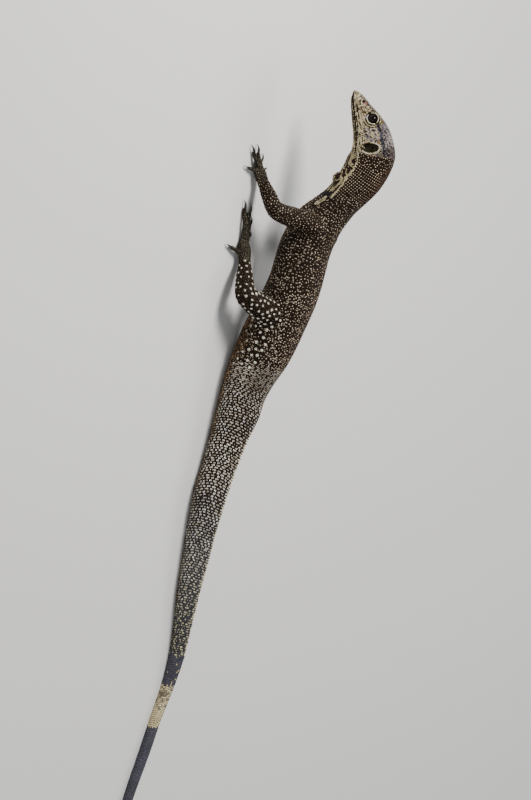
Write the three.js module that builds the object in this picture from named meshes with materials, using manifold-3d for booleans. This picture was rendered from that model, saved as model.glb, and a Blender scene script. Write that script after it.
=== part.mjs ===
// A monitor lizard at life size, standing on a level floor with its neck lifted and its head bent down.
// Millimetres, +X towards the head, +Y to the lizard's left, +Z up. The tables below give x from the vent.
// The finished group is moved so that its origin is the middle of its footprint on the floor.
import * as THREE from "three";
import { mergeVertices } from "three/addons/utils/BufferGeometryUtils.js";
import Module from "manifold-3d";

const wasm = await Module();
wasm.setup();

// Driving dimensions
const GAP = 0.3; // between two parts that touch
const FLOOR_PRESS = 0.5; // how deep the tail and the soles are flattened against the floor
const EYE_RADIUS = 6.3;
const CREST_HEIGHT = 1.5; // of the keel along the top of the tail
const HEAD_YAW = 13.7; // degrees, turned to the lizard's left
const HEAD_PITCH = 28; // degrees, nose down
const HEAD_ROLL = -18; // degrees about the head's own axis, the left cheek turned up
const SNOUT_TIP = new THREE.Vector3(346, 4.5, 71.8);

const skin = new THREE.MeshStandardMaterial({ color: 0x4a4038, roughness: 0.62, metalness: 0 });
const eyeBlack = new THREE.MeshStandardMaterial({ color: 0x0b0908, roughness: 0.08, metalness: 0 });
const horn = new THREE.MeshStandardMaterial({ color: 0x2b2622, roughness: 0.35, metalness: 0 });

const { degToRad: radians, clamp, smoothstep } = THREE.MathUtils;
const lizard = new THREE.Group();

// Solids
function solidOf(geometry) {
  const bare = geometry.clone();
  bare.deleteAttribute("normal");
  bare.deleteAttribute("uv");
  const merged = mergeVertices(bare, 1e-3);
  const triVerts = new Uint32Array(merged.index.array);
  const vertProperties = new Float32Array(merged.attributes.position.array);
  const made = new wasm.Manifold(new wasm.Mesh({ numProp: 3, vertProperties, triVerts }));
  if (made.volume() > 0) return made;
  for (let i = 0; i < triVerts.length; i += 3) {
    [triVerts[i + 1], triVerts[i + 2]] = [triVerts[i + 2], triVerts[i + 1]];
  }
  return new wasm.Manifold(new wasm.Mesh({ numProp: 3, vertProperties, triVerts }));
}

function largestOf(solid) {
  return solid.decompose().reduce((a, b) => (a.volume() > b.volume() ? a : b));
}

function geometryOf(solid) {
  const mesh = solid.getMesh();
  const geometry = new THREE.BufferGeometry();
  geometry.setAttribute("position", new THREE.BufferAttribute(new Float32Array(mesh.vertProperties), 3));
  geometry.setIndex(new THREE.BufferAttribute(new Uint32Array(mesh.triVerts), 1));
  geometry.computeVertexNormals();
  return geometry;
}

function addPart(name, solid, material) {
  const mesh = new THREE.Mesh(geometryOf(largestOf(solid)), material);
  mesh.name = name;
  lizard.add(mesh);
}

// Joins rings that all have the same number of points into one closed skin, with a fan over each end.
function loft(rings) {
  const sides = rings[0].length;
  const points = rings.flat();
  const faces = [];
  for (let r = 0; r + 1 < rings.length; r++) {
    for (let k = 0; k < sides; k++) {
      const a = r * sides + k;
      const b = r * sides + ((k + 1) % sides);
      faces.push(a, b, a + sides, b, b + sides, a + sides);
    }
  }
  for (const r of [0, rings.length - 1]) {
    const middle = rings[r].reduce((sum, p) => sum.add(p), new THREE.Vector3()).divideScalar(sides);
    points.push(middle);
    for (let k = 0; k < sides; k++) {
      const a = r * sides + k;
      const b = r * sides + ((k + 1) % sides);
      faces.push(points.length - 1, ...(r ? [a, b] : [b, a]));
    }
  }
  const geometry = new THREE.BufferGeometry().setFromPoints(points);
  geometry.setIndex(faces);
  return solidOf(geometry);
}

// Rows of numbers at knots, joined by a smooth curve through every row
function smoothRows(knots, rows) {
  const last = rows.length - 1;
  const slope = (i) => rows[i].map((v, j) => (rows[i + 1][j] - v) / (knots[i + 1] - knots[i]));
  const tangents = rows.map((row, i) => {
    if (i === 0) return slope(0);
    if (i === last) return slope(last - 1);
    const before = knots[i] - knots[i - 1];
    const after = knots[i + 1] - knots[i];
    const [a, b] = [slope(i - 1), slope(i)];
    return row.map((_, j) => (a[j] * after + b[j] * before) / (before + after));
  });
  return (at) => {
    let i = 0;
    while (i < last - 1 && at > knots[i + 1]) i++;
    const span = knots[i + 1] - knots[i];
    const t = clamp((at - knots[i]) / span, 0, 1);
    const [t2, t3] = [t * t, t * t * t];
    return rows[i].map(
      (v, j) =>
        v * (2 * t3 - 3 * t2 + 1) +
        tangents[i][j] * span * (t3 - 2 * t2 + t) +
        rows[i + 1][j] * (3 * t2 - 2 * t3) +
        tangents[i + 1][j] * span * (t3 - t2),
    );
  };
}

// A flesh form runs back through its stations. A station has its centre (at), its half-width (wide), its
// reach above and below the centre, its roundness (2 is an ellipse, more is boxier) and the height of the
// keel on its topmost point.
function fleshForm(stations) {
  const knots = [0];
  stations.forEach((s, i) => {
    if (i) knots.push(knots[i - 1] + s.at.distanceTo(stations[i - 1].at));
  });
  const rows = stations.map((s, i) => {
    const nearer = stations[Math.max(i - 1, 0)].at;
    const further = stations[Math.min(i + 1, stations.length - 1)].at;
    const forward = s.forward ?? nearer.clone().sub(further).normalize();
    const { roll = 0, wide, above, below = above, round = 2, keel = 0 } = s;
    return [...s.at.toArray(), ...forward.toArray(), roll, wide, above, below, round, keel];
  });
  return { knots, row: smoothRows(knots, rows), length: knots[knots.length - 1] };
}

function frameAt(form, at) {
  const [x, y, z, fx, fy, fz, roll, wide, above, below, round, keel] = form.row(at);
  const forward = new THREE.Vector3(fx, fy, fz).normalize();
  const left = new THREE.Vector3(0, 0, 1).cross(forward).normalize().applyAxisAngle(forward, radians(-roll));
  const up = forward.clone().cross(left);
  return { centre: new THREE.Vector3(x, y, z), left, up, wide, above, below, round, keel };
}

function pointAt({ centre, left, up, wide, above, below, round }, angle, grow = 0) {
  const boxy = (v) => Math.sign(v) * Math.abs(v) ** (2 / round);
  const out = boxy(Math.cos(angle)) * (wide + grow);
  const lift = boxy(Math.sin(angle)) * ((Math.sin(angle) > 0 ? above : below) + grow);
  return centre.clone().addScaledVector(left, out).addScaledVector(up, lift);
}

function ringAt(form, at, sides, grow = 0) {
  const frame = frameAt(form, at);
  const ring = Array.from({ length: sides }, (_, k) =>
    pointAt(frame, Math.PI / 2 + (k * 2 * Math.PI) / sides, grow),
  );
  ring[0].addScaledVector(frame.up, frame.keel);
  return ring;
}

// One length of a flesh form, with its rings about a step apart
function lengthOf(form, from, to, step, sides, grow = 0) {
  const count = Math.max(2, Math.round((to - from) / step));
  const rings = Array.from({ length: count + 1 }, (_, i) =>
    ringAt(form, from + ((to - from) * i) / count, sides, grow),
  );
  return loft(rings);
}

const belowFloor = solidOf(new THREE.BoxGeometry(1600, 800, 60).translate(0, 0, -30));
const onFloor = (solid) => solid.subtract(belowFloor);

// The head's own frame: distance back from the snout tip, to the left, and up
const headTurn = new THREE.Euler(0, radians(HEAD_PITCH), radians(HEAD_YAW), "ZYX");
const headForward = new THREE.Vector3(1, 0, 0).applyEuler(headTurn);
const headLeft = new THREE.Vector3(0, 0, 1)
  .cross(headForward)
  .normalize()
  .applyAxisAngle(headForward, radians(-HEAD_ROLL));
const headUp = headForward.clone().cross(headLeft);
const onHead = (back, left, up) =>
  SNOUT_TIP.clone()
    .addScaledVector(headForward, -back)
    .addScaledVector(headLeft, left)
    .addScaledVector(headUp, up);

// Head rings: distance back and height of the middle, half-height, half-width, and the angle in degrees by
// which the ring leans back at the top as the head bends into the neck
const HEAD_SHAPE = [
  [-0.8, -2.0, 2.4, 2.6, 0],
  [0.8, -1.3, 4.7, 4.8, 0],
  [4, -0.3, 6.7, 6.4, 0],
  [10, 0.2, 9.0, 8.1, 0],
  [20, 0.4, 11.8, 9.9, 0],
  [28, 1.4, 14.6, 11.9, 0],
  [36, 2.5, 17.3, 14.0, 2],
  [49.7, 3.6, 21.0, 17.2, 8],
  [61, 2.7, 23.4, 18.9, 18],
  [76.4, -1.9, 26.0, 20.4, 29],
];
const CHEEK = 0.46; // how far up the head is widest
const headStations = HEAD_SHAPE.map(([back, middle, half, wide, lean]) => {
  const turned = headForward.clone().applyAxisAngle(headLeft, radians(-lean));
  const up = headUp.clone().applyAxisAngle(headLeft, radians(-lean));
  const below = 2 * half * CHEEK;
  return {
    at: onHead(back, 0, middle).addScaledVector(up, below - half),
    forward: turned,
    roll: HEAD_ROLL,
    wide,
    above: 2 * half - below,
    below,
    round: 2.35,
  };
});

// Neck and torso: x, y, z of the middle, half-width, reach above, reach below, roll
const NECK_SHAPE = [
  [266, -12.2, 103.2, 21.6, 26.4, 27.2, -12],
  [250, -12.5, 96.6, 22.4, 26.4, 24.6, -8],
  [234, -12.5, 88.2, 22.4, 24.2, 22.0, -4],
  [219, -12.2, 80.0, 22.2, 22.0, 22.0, -2],
  [204, -11.5, 70.4, 23.6, 24.0, 24.4, 0],
  [190, -10.5, 61.6, 26.4, 27.4, 28.0, 0],
];
const TORSO_SHAPE = [
  [173, -9.2, 55.6, 28.0, 29.4, 29.6, 0],
  [157, -8, 52.8, 29.2, 30.2, 30.2, 0],
  [137, -6.6, 52.6, 31.0, 30.2, 30.2, 0],
  [117, -5.2, 52.7, 32.2, 30.3, 30.4, 0],
  [99, -3.8, 51.0, 32.8, 31.0, 31.2, 0],
  [75, -2, 46.4, 31.8, 32.0, 32.2, 0],
  [53, 0, 42.0, 30.2, 33.4, 34.2, 0],
  [28, 2, 37.0, 28.2, 32.8, 33.4, 0],
  [2, 3.8, 30.8, 26.0, 29.4, 29.8, 0],
];
const trunkStation = ([x, y, z, wide, above, below, roll]) => ({
  at: new THREE.Vector3(x, y, z),
  roll,
  wide,
  above,
  below,
  round: 2.12,
});

// Tail, lying along the floor: x, y, half-height, half-width
const TAIL_SHAPE = [
  [-24, 4.6, 27.2, 22.8],
  [-42, 4.6, 26.8, 21.4],
  [-60, 5, 24.8, 19.4],
  [-104, 7.4, 21.6, 15.6],
  [-150, 12.0, 20.6, 13.8],
  [-184, 6.6, 18.4, 12.0],
  [-222, -1.0, 16.4, 10.4],
  [-262, -9.6, 14.0, 8.8],
  [-300, -22.4, 11.2, 7.2],
  [-338, -31.0, 9.4, 6.0],
  [-372, -31.4, 7.7, 5.3],
  [-410, -23.6, 6.7, 4.8],
  [-450, -15.4, 6.7, 4.5],
  [-500, -5.0, 6.1, 4.2],
  [-556, 1.5, 5.0, 3.6],
  [-608, 3.0, 3.5, 2.8],
  [-645, 1.0, 2.2, 1.9],
  [-660, 0.0, 1.4, 1.3],
];
const tailStations = TAIL_SHAPE.map(([x, y, half, wide], i) => ({
  at: new THREE.Vector3(x, y, half - FLOOR_PRESS * Math.min(1, half / 6)),
  wide,
  above: half,
  round: 2,
  keel: CREST_HEIGHT * Math.min(1, i / 3, half / 9),
}));

const stations = [
  ...headStations,
  ...NECK_SHAPE.map(trunkStation),
  ...TORSO_SHAPE.map(trunkStation),
  ...tailStations,
];
const spine = fleshForm(stations);

// The lengths of the spine behind the head: name, the station that ends it, distance between rings, sides
const headEnd = HEAD_SHAPE.length - 1;
const neckEnd = headEnd + NECK_SHAPE.length;
const torsoEnd = neckEnd + TORSO_SHAPE.length;
const SPINE_LENGTHS = [
  ["neck", neckEnd, 6, 24],
  ["torso", torsoEnd, 8.5, 24],
  ["tail_base", torsoEnd + 5, 9, 16],
  ["tail_middle", torsoEnd + 9, 9, 14],
  ["tail_rear", torsoEnd + 13, 9, 12],
  ["tail_end", torsoEnd + 18, 9, 10],
];
// The loose fold of skin across the throat
const THROAT_FOLD = { at: [244, -9, 74], size: [9, 13.5, 8], rise: 27 };
const throatFold = solidOf(
  new THREE.SphereGeometry(1, 18, 10)
    .scale(...THROAT_FOLD.size)
    .rotateY(-radians(THROAT_FOLD.rise))
    .translate(...THROAT_FOLD.at),
);
let start = spine.knots[headEnd];
for (const [name, station, step, sides] of SPINE_LENGTHS) {
  const end = spine.knots[station];
  const to = end < spine.length ? end - GAP / 2 : end;
  const length = onFloor(lengthOf(spine, start + GAP / 2, to, step, sides));
  addPart(name, name === "neck" ? length.add(throatFold) : length, skin);
  start = end;
}
const trunkGrown = lengthOf(spine, spine.knots[headEnd], spine.knots[torsoEnd + 4], 8.5, 24, GAP);

// Things on the head are made about the origin, x back, y left, z up, and set at a point of its left side.
// For the right side they are mirrored.
function onSide(geometry, [back, left, up], hand, tilt = 0) {
  const flipped = hand < 0 ? geometry.clone().scale(1, -1, 1) : geometry.clone();
  const basis = new THREE.Matrix4().makeBasis(headForward.clone().negate(), headLeft, headUp);
  flipped.applyMatrix4(new THREE.Matrix4().makeRotationY(-radians(tilt)));
  const at = onHead(back, hand * left, up);
  return solidOf(flipped.applyMatrix4(basis.setPosition(at)));
}
const egg = (back, left, up, around = 12, down = 8) =>
  new THREE.SphereGeometry(1, around, down).scale(back, left, up);

// Mouth: the line between the lips, as distance back and height, and the lips as rows of height above that
// line and how far they stand out
const MOUTH_LINE = [[-4, -2.6], [10, -4.6], [21, -6.6], [32, -8.6], [44, -10.8], [56, -13.2], [80, -18]];
const LIPS = [[3.6, 0], [2.2, 0.6], [0.5, 0.45], [0.05, -1.1], [-0.5, 0.35], [-1.9, 0.5], [-3.1, 0]];
const MOUTH_CORNER = 57; // distance back at which the lips fade out
const HEAD_RINGS = 23;
const ABOVE_LIPS = 8; // points on each side of a ring, above and below the lips
const BELOW_LIPS = 4;
const mouthRow = smoothRows(
  MOUTH_LINE.map(([back]) => back),
  MOUTH_LINE.map(([, up]) => [up]),
);
function headRing(at) {
  const frame = frameAt(spine, at);
  const back = SNOUT_TIP.clone().sub(frame.centre).dot(headForward);
  const level = frame.centre.clone().sub(SNOUT_TIP).dot(headUp);
  const [mouth] = mouthRow(back);
  const fade = smoothstep(MOUTH_CORNER - back, 0, 8) * smoothstep(back, -1, 3);
  const room = Math.min(1, (0.72 * (mouth - level + frame.below)) / 3.1);
  const angleAt = (height) => {
    const share = clamp((height - level) / (height > level ? frame.above : frame.below), -0.97, 0.97);
    return Math.sign(share) * Math.asin(Math.abs(share) ** (frame.round / 2));
  };
  const lipAngles = LIPS.map(([height]) => angleAt(mouth + height * room));
  const side = [];
  for (let i = 0; i < ABOVE_LIPS; i++) {
    side.push([Math.PI / 2 + ((lipAngles[0] - Math.PI / 2) * i) / ABOVE_LIPS, 0]);
  }
  LIPS.forEach(([, out], i) => side.push([lipAngles[i], out * fade * room]));
  const lowest = lipAngles[LIPS.length - 1];
  for (let i = 1; i <= BELOW_LIPS; i++) {
    side.push([lowest - ((lowest + Math.PI / 2) * i) / BELOW_LIPS, 0]);
  }
  const right = side.map(([angle, out]) => pointAt(frame, angle, out));
  const left = side.slice(1, -1).map(([angle, out]) => pointAt(frame, Math.PI - angle, out));
  return [...right, ...left.reverse()];
}
const headLength = spine.knots[headEnd] - GAP / 2;
let head = loft(Array.from({ length: HEAD_RINGS }, (_, i) => headRing((headLength * i) / (HEAD_RINGS - 1))));

// Brows, nostrils, ears and eyes, on both sides: distance back, left, up
const BROW = { at: [38.5, 10.4, 15.6], size: [10.5, 3.4, 3.0], tilt: 22 };
const CANTHUS = { at: [24.5, 7.6, 9.6], size: [9.5, 1.8, 1.8], tilt: 20 };
const NOSTRIL = { at: [16.8, 7.5, 7.0], size: [3.6, 2.3, 1.8], tilt: 30 };
const EAR = { at: [68.8, 18.4, -0.2], opening: [5.4, 9.6], depth: 6.2, rim: 1.1, tilt: -17 };
const EYE = { at: [37.2, 12.6, 11.4], facing: [-0.27, 1, 0.3], sunk: 2.7 };
const LID = { radius: 6.7, thick: 1.25 };
for (const [side, hand] of [["left", 1], ["right", -1]]) {
  head = head.add(onSide(egg(...BROW.size), BROW.at, hand, BROW.tilt));
  head = head.add(onSide(egg(...CANTHUS.size), CANTHUS.at, hand, CANTHUS.tilt));
  const rim = new THREE.TorusGeometry(1, 0.13, 5, 18).rotateX(Math.PI / 2);
  const [half, tall] = EAR.opening.map((r) => r + EAR.rim * 0.6);
  head = head.add(onSide(rim.scale(half, EAR.rim / 0.13, tall), EAR.at, hand, EAR.tilt));
  head = head.subtract(onSide(egg(EAR.opening[0], EAR.depth, EAR.opening[1], 16, 8), EAR.at, hand, EAR.tilt));
  head = head.subtract(onSide(egg(...NOSTRIL.size, 10, 6), NOSTRIL.at, hand, NOSTRIL.tilt));

  const facing = new THREE.Vector3(...EYE.facing).normalize();
  const middle = facing.clone().multiplyScalar(-EYE.sunk).add(new THREE.Vector3(...EYE.at));
  const lids = new THREE.TorusGeometry(LID.radius, LID.thick, 5, 18);
  lids.applyQuaternion(new THREE.Quaternion().setFromUnitVectors(new THREE.Vector3(0, 0, 1), facing));
  head = head.add(onSide(lids, EYE.at, hand));
  const ball = (radius) => onSide(egg(radius, radius, radius, 18, 12), middle.toArray(), hand);
  head = head.subtract(ball(EYE_RADIUS + GAP));
  addPart(`eye_${side}`, ball(EYE_RADIUS), eyeBlack);
}
addPart("head", head, skin);

// Limbs: each joint is x, y, z of the middle, half-width, half-height. The root lies inside the trunk.
// Each digit is named by where its claw ends: x, y, and its half-width at the root.
const LIMBS = {
  foreleg_left: {
    kind: "fore",
    root: [181, -4, 66, 18, 19],
    shoulder: [184, 17, 60, 15, 16],
    middle: [187, 38, 46, 12.4, 12.8],
    bend: [191, 57, 32.5, 10.6, 10.4],
    lower: [204, 58.5, 22.5, 9.6, 9.2],
    ankle: [217, 58, 11.5, 7.6, 6.8],
    palm: [227, 64, 7.0, 9.4, 6.2],
    digits: [
      [236, 38, 2.7],
      [250, 57, 3.0],
      [258, 78, 3.1],
      [255, 94, 3.1],
      [229, 99, 2.8],
    ],
  },
  foreleg_right: {
    kind: "fore",
    root: [180, -14, 66, 18, 19],
    shoulder: [176, -36, 60, 15, 16],
    middle: [164, -58, 47, 12.4, 12.8],
    bend: [152, -77, 34, 10.6, 10.4],
    lower: [161, -83, 23, 9.6, 9.2],
    ankle: [172, -88, 11.5, 7.6, 6.8],
    palm: [181, -93, 7.0, 9.4, 6.2],
    digits: [
      [200, -76, 2.7],
      [209, -93, 3.0],
      [209, -110, 3.1],
      [200, -123, 3.1],
      [176, -124, 2.8],
    ],
  },
  hindleg_left: {
    kind: "hind",
    root: [68, 0, 48, 20, 20],
    shoulder: [74, 26, 42, 17.4, 18.4],
    middle: [81, 49, 35, 15.2, 15.6],
    bend: [89, 69, 28, 12.6, 12.4],
    lower: [106, 63, 20, 11.2, 10.4],
    ankle: [124, 55, 11.5, 7.6, 7.2],
    palm: [141, 56, 7.0, 10.4, 6.4],
    digits: [
      [160, 36, 2.9],
      [177, 45, 3.1],
      [191, 57, 3.3],
      [193, 76, 3.3],
      [138, 96, 2.9],
    ],
  },
  hindleg_right: {
    kind: "hind",
    root: [68, -4, 48, 20, 20],
    shoulder: [76, -28, 42, 17.4, 18.4],
    middle: [82, -50, 36, 15.2, 15.6],
    bend: [84, -71, 29, 12.6, 12.4],
    lower: [67, -77, 20, 11.2, 10.4],
    ankle: [48, -83, 11.5, 7.6, 7.2],
    palm: [63, -91, 7.0, 10.4, 6.4],
    digits: [
      [88, -81, 2.9],
      [103, -92, 3.1],
      [112, -107, 3.3],
      [107, -123, 3.3],
      [51, -129, 2.9],
    ],
  },
};
const CLAW_LENGTH = 10.5;
const KNUCKLES = 7.5; // how far the palm runs on beyond its middle
const joint = ([x, y, z, wide, above]) => ({ at: new THREE.Vector3(x, y, z), wide, above, round: 2 });

for (const [limb, shape] of Object.entries(LIMBS)) {
  const names = ["root", "shoulder", "middle", "bend", "lower", "ankle", "palm"];
  const [x, y, , wide, above] = shape.palm;
  const [ahead, aside] = shape.digits[2];
  const reach = new THREE.Vector2(ahead - x, aside - y).setLength(KNUCKLES);
  const knuckles = [x + reach.x, y + reach.y, 4.4, wide * 0.72, above * 0.6];
  const form = fleshForm([...names.map((name) => shape[name]), knuckles].map(joint));
  const upper = shape.kind === "fore" ? "upper_arm" : "thigh";
  const lower = shape.kind === "fore" ? "forearm" : "shin";
  const foot = shape.kind === "fore" ? "hand" : "foot";
  const side = limb.endsWith("left") ? "left" : "right";
  const bend = form.knots[names.indexOf("bend")];
  const ankle = form.knots[names.indexOf("ankle")];
  addPart(`${upper}_${side}`, lengthOf(form, 0, bend - GAP / 2, 7, 14).subtract(trunkGrown), skin);
  addPart(`${lower}_${side}`, lengthOf(form, bend + GAP / 2, ankle - GAP / 2, 7, 14), skin);

  const palm = new THREE.Vector3(...shape.palm.slice(0, 3));
  const from = new THREE.Vector3(...shape.ankle.slice(0, 3));
  let solid = lengthOf(form, ankle + GAP / 2, form.length, 4, 14);
  shape.digits.forEach(([tipX, tipY, thick], i) => {
    const tip = new THREE.Vector3(tipX, tipY, 0);
    const outer = i === 4;
    const rootCentre = outer && shape.kind === "hind" ? from.clone().lerp(palm, 0.45) : palm.clone();
    const away = tip.clone().sub(rootCentre).setZ(0).normalize();
    const inward = away.clone().negate();
    const length = tip.clone().sub(rootCentre).setZ(0).length();
    const along = (d, z) => rootCentre.clone().addScaledVector(away, d).setZ(z);
    const flesh = length - CLAW_LENGTH;
    const digit = fleshForm([
      { at: along(1, 6.2), wide: thick * 1.25, above: thick * 1.2 },
      { at: along(flesh * 0.36, 5.4), wide: thick * 1.06, above: thick * 1.08 },
      { at: along(flesh * 0.62, 5.2), wide: thick * 0.92, above: thick * 0.98 },
      { at: along(flesh * 0.86, 3.2), wide: thick * 0.9, above: thick * 0.98 },
      { at: along(flesh, 3.2), forward: inward, wide: thick * 0.72, above: thick * 0.8 },
    ]);
    solid = solid.add(lengthOf(digit, 0, digit.length, 5.5, 8));
    const claw = fleshForm([
      { at: along(flesh + GAP, 3.3), forward: inward, wide: thick * 0.46, above: thick * 0.66 },
      { at: along(flesh + 3.2, 4.1), wide: thick * 0.4, above: thick * 0.58 },
      { at: along(flesh + 6.4, 3.6), wide: thick * 0.3, above: thick * 0.4 },
      { at: along(flesh + 9, 2.1), wide: 0.5, above: 0.6 },
      { at: along(flesh + 10.2, 0.9), wide: 0.25, above: 0.25 },
    ]);
    addPart(`claw_${limb}_${i + 1}`, lengthOf(claw, 0, claw.length, 2.4, 6), horn);
  });
  const shinGrown = lengthOf(form, bend, ankle - GAP / 2, 7, 14, GAP);
  addPart(`${foot}_${side}`, onFloor(solid.subtract(shinGrown)), skin);
}

// The origin is the middle of the footprint
const box = new THREE.Box3().setFromObject(lizard);
for (const mesh of lizard.children) {
  mesh.geometry.translate(-(box.min.x + box.max.x) / 2, -(box.min.y + box.max.y) / 2, -box.min.z);
}

export default lizard;
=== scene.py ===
# %% [markdown]
# # A monitor lizard at life size
# A still museum model of a monitor lizard, standing on a pale floor with its neck lifted and its head
# bent down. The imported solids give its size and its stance. This lesson dresses them: one skin over all
# the flesh, tens of thousands of small scales over the skin, two eyes and twenty claws. Lengths are
# metres, in the solids' own frame.

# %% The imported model
import math

import bmesh
import bpy
import numpy as np
from mathutils import Matrix, Quaternion, Vector, noise
from mathutils.bvhtree import BVHTree
from mathutils.kdtree import KDTree


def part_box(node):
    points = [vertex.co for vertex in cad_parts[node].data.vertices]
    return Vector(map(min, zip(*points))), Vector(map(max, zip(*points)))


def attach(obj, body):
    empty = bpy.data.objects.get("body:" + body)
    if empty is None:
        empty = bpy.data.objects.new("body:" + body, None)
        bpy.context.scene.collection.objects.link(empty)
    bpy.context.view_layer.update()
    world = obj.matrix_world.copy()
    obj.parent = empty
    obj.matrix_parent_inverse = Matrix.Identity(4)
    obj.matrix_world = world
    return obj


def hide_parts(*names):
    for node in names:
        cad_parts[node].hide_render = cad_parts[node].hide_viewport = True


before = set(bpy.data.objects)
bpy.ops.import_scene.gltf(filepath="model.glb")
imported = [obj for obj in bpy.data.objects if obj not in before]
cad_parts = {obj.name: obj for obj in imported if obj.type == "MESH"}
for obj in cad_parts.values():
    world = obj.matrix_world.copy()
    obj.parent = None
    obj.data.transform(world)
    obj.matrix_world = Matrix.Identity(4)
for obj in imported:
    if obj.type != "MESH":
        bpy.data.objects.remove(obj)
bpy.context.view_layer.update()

# %% [markdown]
# ## Where things are
# The solids were drawn in millimetres from the vent, and then moved so that the footprint is centred.
# The same shift lets this lesson name places on the lizard in those millimetres. The head has a frame
# of its own, because it is turned, bent down and rolled: a place on it is a distance back from the tip
# of the snout, to the left, and up.

# %% Places on the body and on the head
MM = 0.001
SHIFT = np.array([156.63, 15.0, 0.0])
SNOUT_TIP = np.array([346.0, 4.5, 71.8])
HEAD_YAW, HEAD_PITCH, HEAD_ROLL = math.radians(13.7), math.radians(28), math.radians(-18)
SIDE_HANDS = (("left", 1), ("right", -1))


def place(points):
    """Millimetres from the vent, as metres in the frame of the solids"""
    return (np.asarray(points, float) + SHIFT) * MM


def unit(v):
    return v / np.maximum(np.linalg.norm(v, axis=-1, keepdims=True), 1e-12)


forward = np.array([math.cos(HEAD_PITCH) * math.cos(HEAD_YAW), math.cos(HEAD_PITCH) * math.sin(HEAD_YAW),
                    -math.sin(HEAD_PITCH)])
level_left = unit(np.cross([0, 0, 1.0], forward))
head_left = np.array(Quaternion(forward, -HEAD_ROLL) @ Vector(level_left))
head_up = np.cross(forward, head_left)
HEAD_AXES = np.array([-forward, head_left, head_up])


def on_head(places):
    """Back, left and up from the tip of the snout, in millimetres, as metres in the frame of the solids"""
    return place(SNOUT_TIP + np.asarray(places, float) @ HEAD_AXES)


def head_places(points):
    """The other way round: metres in the frame of the solids as back, left and up in millimetres"""
    return (np.asarray(points) / MM - SHIFT - SNOUT_TIP) @ HEAD_AXES.T


def bell(distance, width):
    """One at no distance, and falling away smoothly over about twice the width"""
    return np.exp(-((distance / width) ** 2))


def steps(value, low, high):
    """From none at low to all at high, smoothly"""
    t = np.clip((value - low) / (high - low), 0, 1)
    return t * t * (3 - 2 * t)


print("snout tip", on_head([0, 0, 0]).round(4))

# %% [markdown]
# ## Camera, light and floor
# The picture shows the lizard upright, from its left and a little from its back. On the floor that view
# comes from the side and a little above, with the camera rolled until the head is at the top. A long
# lens from far away keeps the outline nearly free of perspective.

# %% The camera
ELEVATION, LEAN = math.radians(24), math.radians(14)
PHOTO_SCALE = 1.15 * MM  # metres to a pixel of the picture
PHOTO_TALL = 800
DISTANCE = 6.5
LOOK_AT = [-23.6, 0, 54.2]  # from the vent, millimetres
target = place(LOOK_AT)
back = np.array([0, math.cos(ELEVATION), math.sin(ELEVATION)])
across = np.array([0, -math.sin(ELEVATION), math.cos(ELEVATION)])
right = math.sin(LEAN) * np.array([1.0, 0, 0]) + math.cos(LEAN) * across
camera_axes = np.array([right, np.cross(back, right), back])

lens = bpy.data.cameras.new("camera")
camera = bpy.data.objects.new("camera", lens)
bpy.context.scene.collection.objects.link(camera)
camera.matrix_world = Matrix.Translation(target + DISTANCE * back) @ Matrix(camera_axes.T.tolist()).to_4x4()
lens.sensor_fit = "VERTICAL"
lens.sensor_height = 36
lens.lens = lens.sensor_height * DISTANCE / (PHOTO_SCALE * PHOTO_TALL)
lens.clip_end = 100
bpy.context.scene.camera = camera
print("lens", round(lens.lens, 1), "mm")

# %% The floor and the lights
def set_inputs(node, values):
    for name, value in values.items():
        node.inputs[name].default_value = value


def soft_light(name, offset, size, watts, tint):
    light = bpy.data.lights.new(name, "AREA")
    light.energy, light.size, light.color = watts, size, tint
    lamp = bpy.data.objects.new(name, light)
    bpy.context.scene.collection.objects.link(lamp)
    lamp.location = Vector(target) + Vector(offset)
    lamp.rotation_euler = (-Vector(offset)).to_track_quat("-Z", "Y").to_euler()


bpy.ops.object.select_all(action="DESELECT")
bpy.ops.mesh.primitive_plane_add(size=40, location=(0, 0, 0))
floor = bpy.context.active_object
floor.name = "floor"
floor_paint = bpy.data.materials.new("pale_floor")
floor_paint.use_nodes = True
floor_surface = floor_paint.node_tree.nodes["Principled BSDF"]
set_inputs(floor_surface, {"Base Color": (0.72, 0.71, 0.69, 1), "Roughness": 0.9})
floor.data.materials.append(floor_paint)

soft_light("key", (1.5, 0.5, 1.5), 0.8, 70, (1.0, 0.98, 0.95))
soft_light("fill", (-1.2, 2.4, 1.3), 1.6, 22, (0.95, 0.98, 1.0))
soft_light("rim", (0.2, -1.6, 1.5), 1.0, 18, (1.0, 1.0, 1.0))
world = bpy.data.worlds.new("studio")
bpy.context.scene.world = world
world.use_nodes = True
set_inputs(world.node_tree.nodes["Background"], {"Color": (0.9, 0.95, 1.0, 1), "Strength": 0.30})
print("lights:", sorted(light.name for light in bpy.data.lights))

# %% [markdown]
# ## The skin
# On the animal one skin runs over everything, so the nodes of flesh must lose their seams. Copies of
# them are swollen until they overlap, joined, and remeshed with small voxels into one closed surface.
# Smoothing then takes the facets away: much on the trunk, where they are large, and little on the head
# and toes, where it would rub out the lids and lips.

# %% Helpers for meshes
def pick(*pieces):
    bpy.ops.object.select_all(action="DESELECT")
    for piece in pieces:
        piece.select_set(True)
    bpy.context.view_layer.objects.active = pieces[0]


def apply_modifier(piece, kind, **settings):
    pick(piece)
    modifier = piece.modifiers.new(kind.lower(), kind)
    for name, value in settings.items():
        setattr(modifier, name, value)
    bpy.ops.object.modifier_apply(modifier=modifier.name)


def swell(piece, by):
    """Every face moved out along its normal"""
    pick(piece)
    bpy.ops.object.mode_set(mode="EDIT")
    bpy.ops.mesh.select_all(action="SELECT")
    bpy.ops.transform.shrink_fatten(value=by)
    bpy.ops.object.mode_set(mode="OBJECT")


def numbers(items, name, width, kind=np.float32):
    got = np.empty(len(items) * width, kind)
    items.foreach_get(name, got)
    return got.reshape(-1, width) if width > 1 else got


def points_of(piece):
    return numbers(piece.data.vertices, "co", 3).astype(float)


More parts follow.
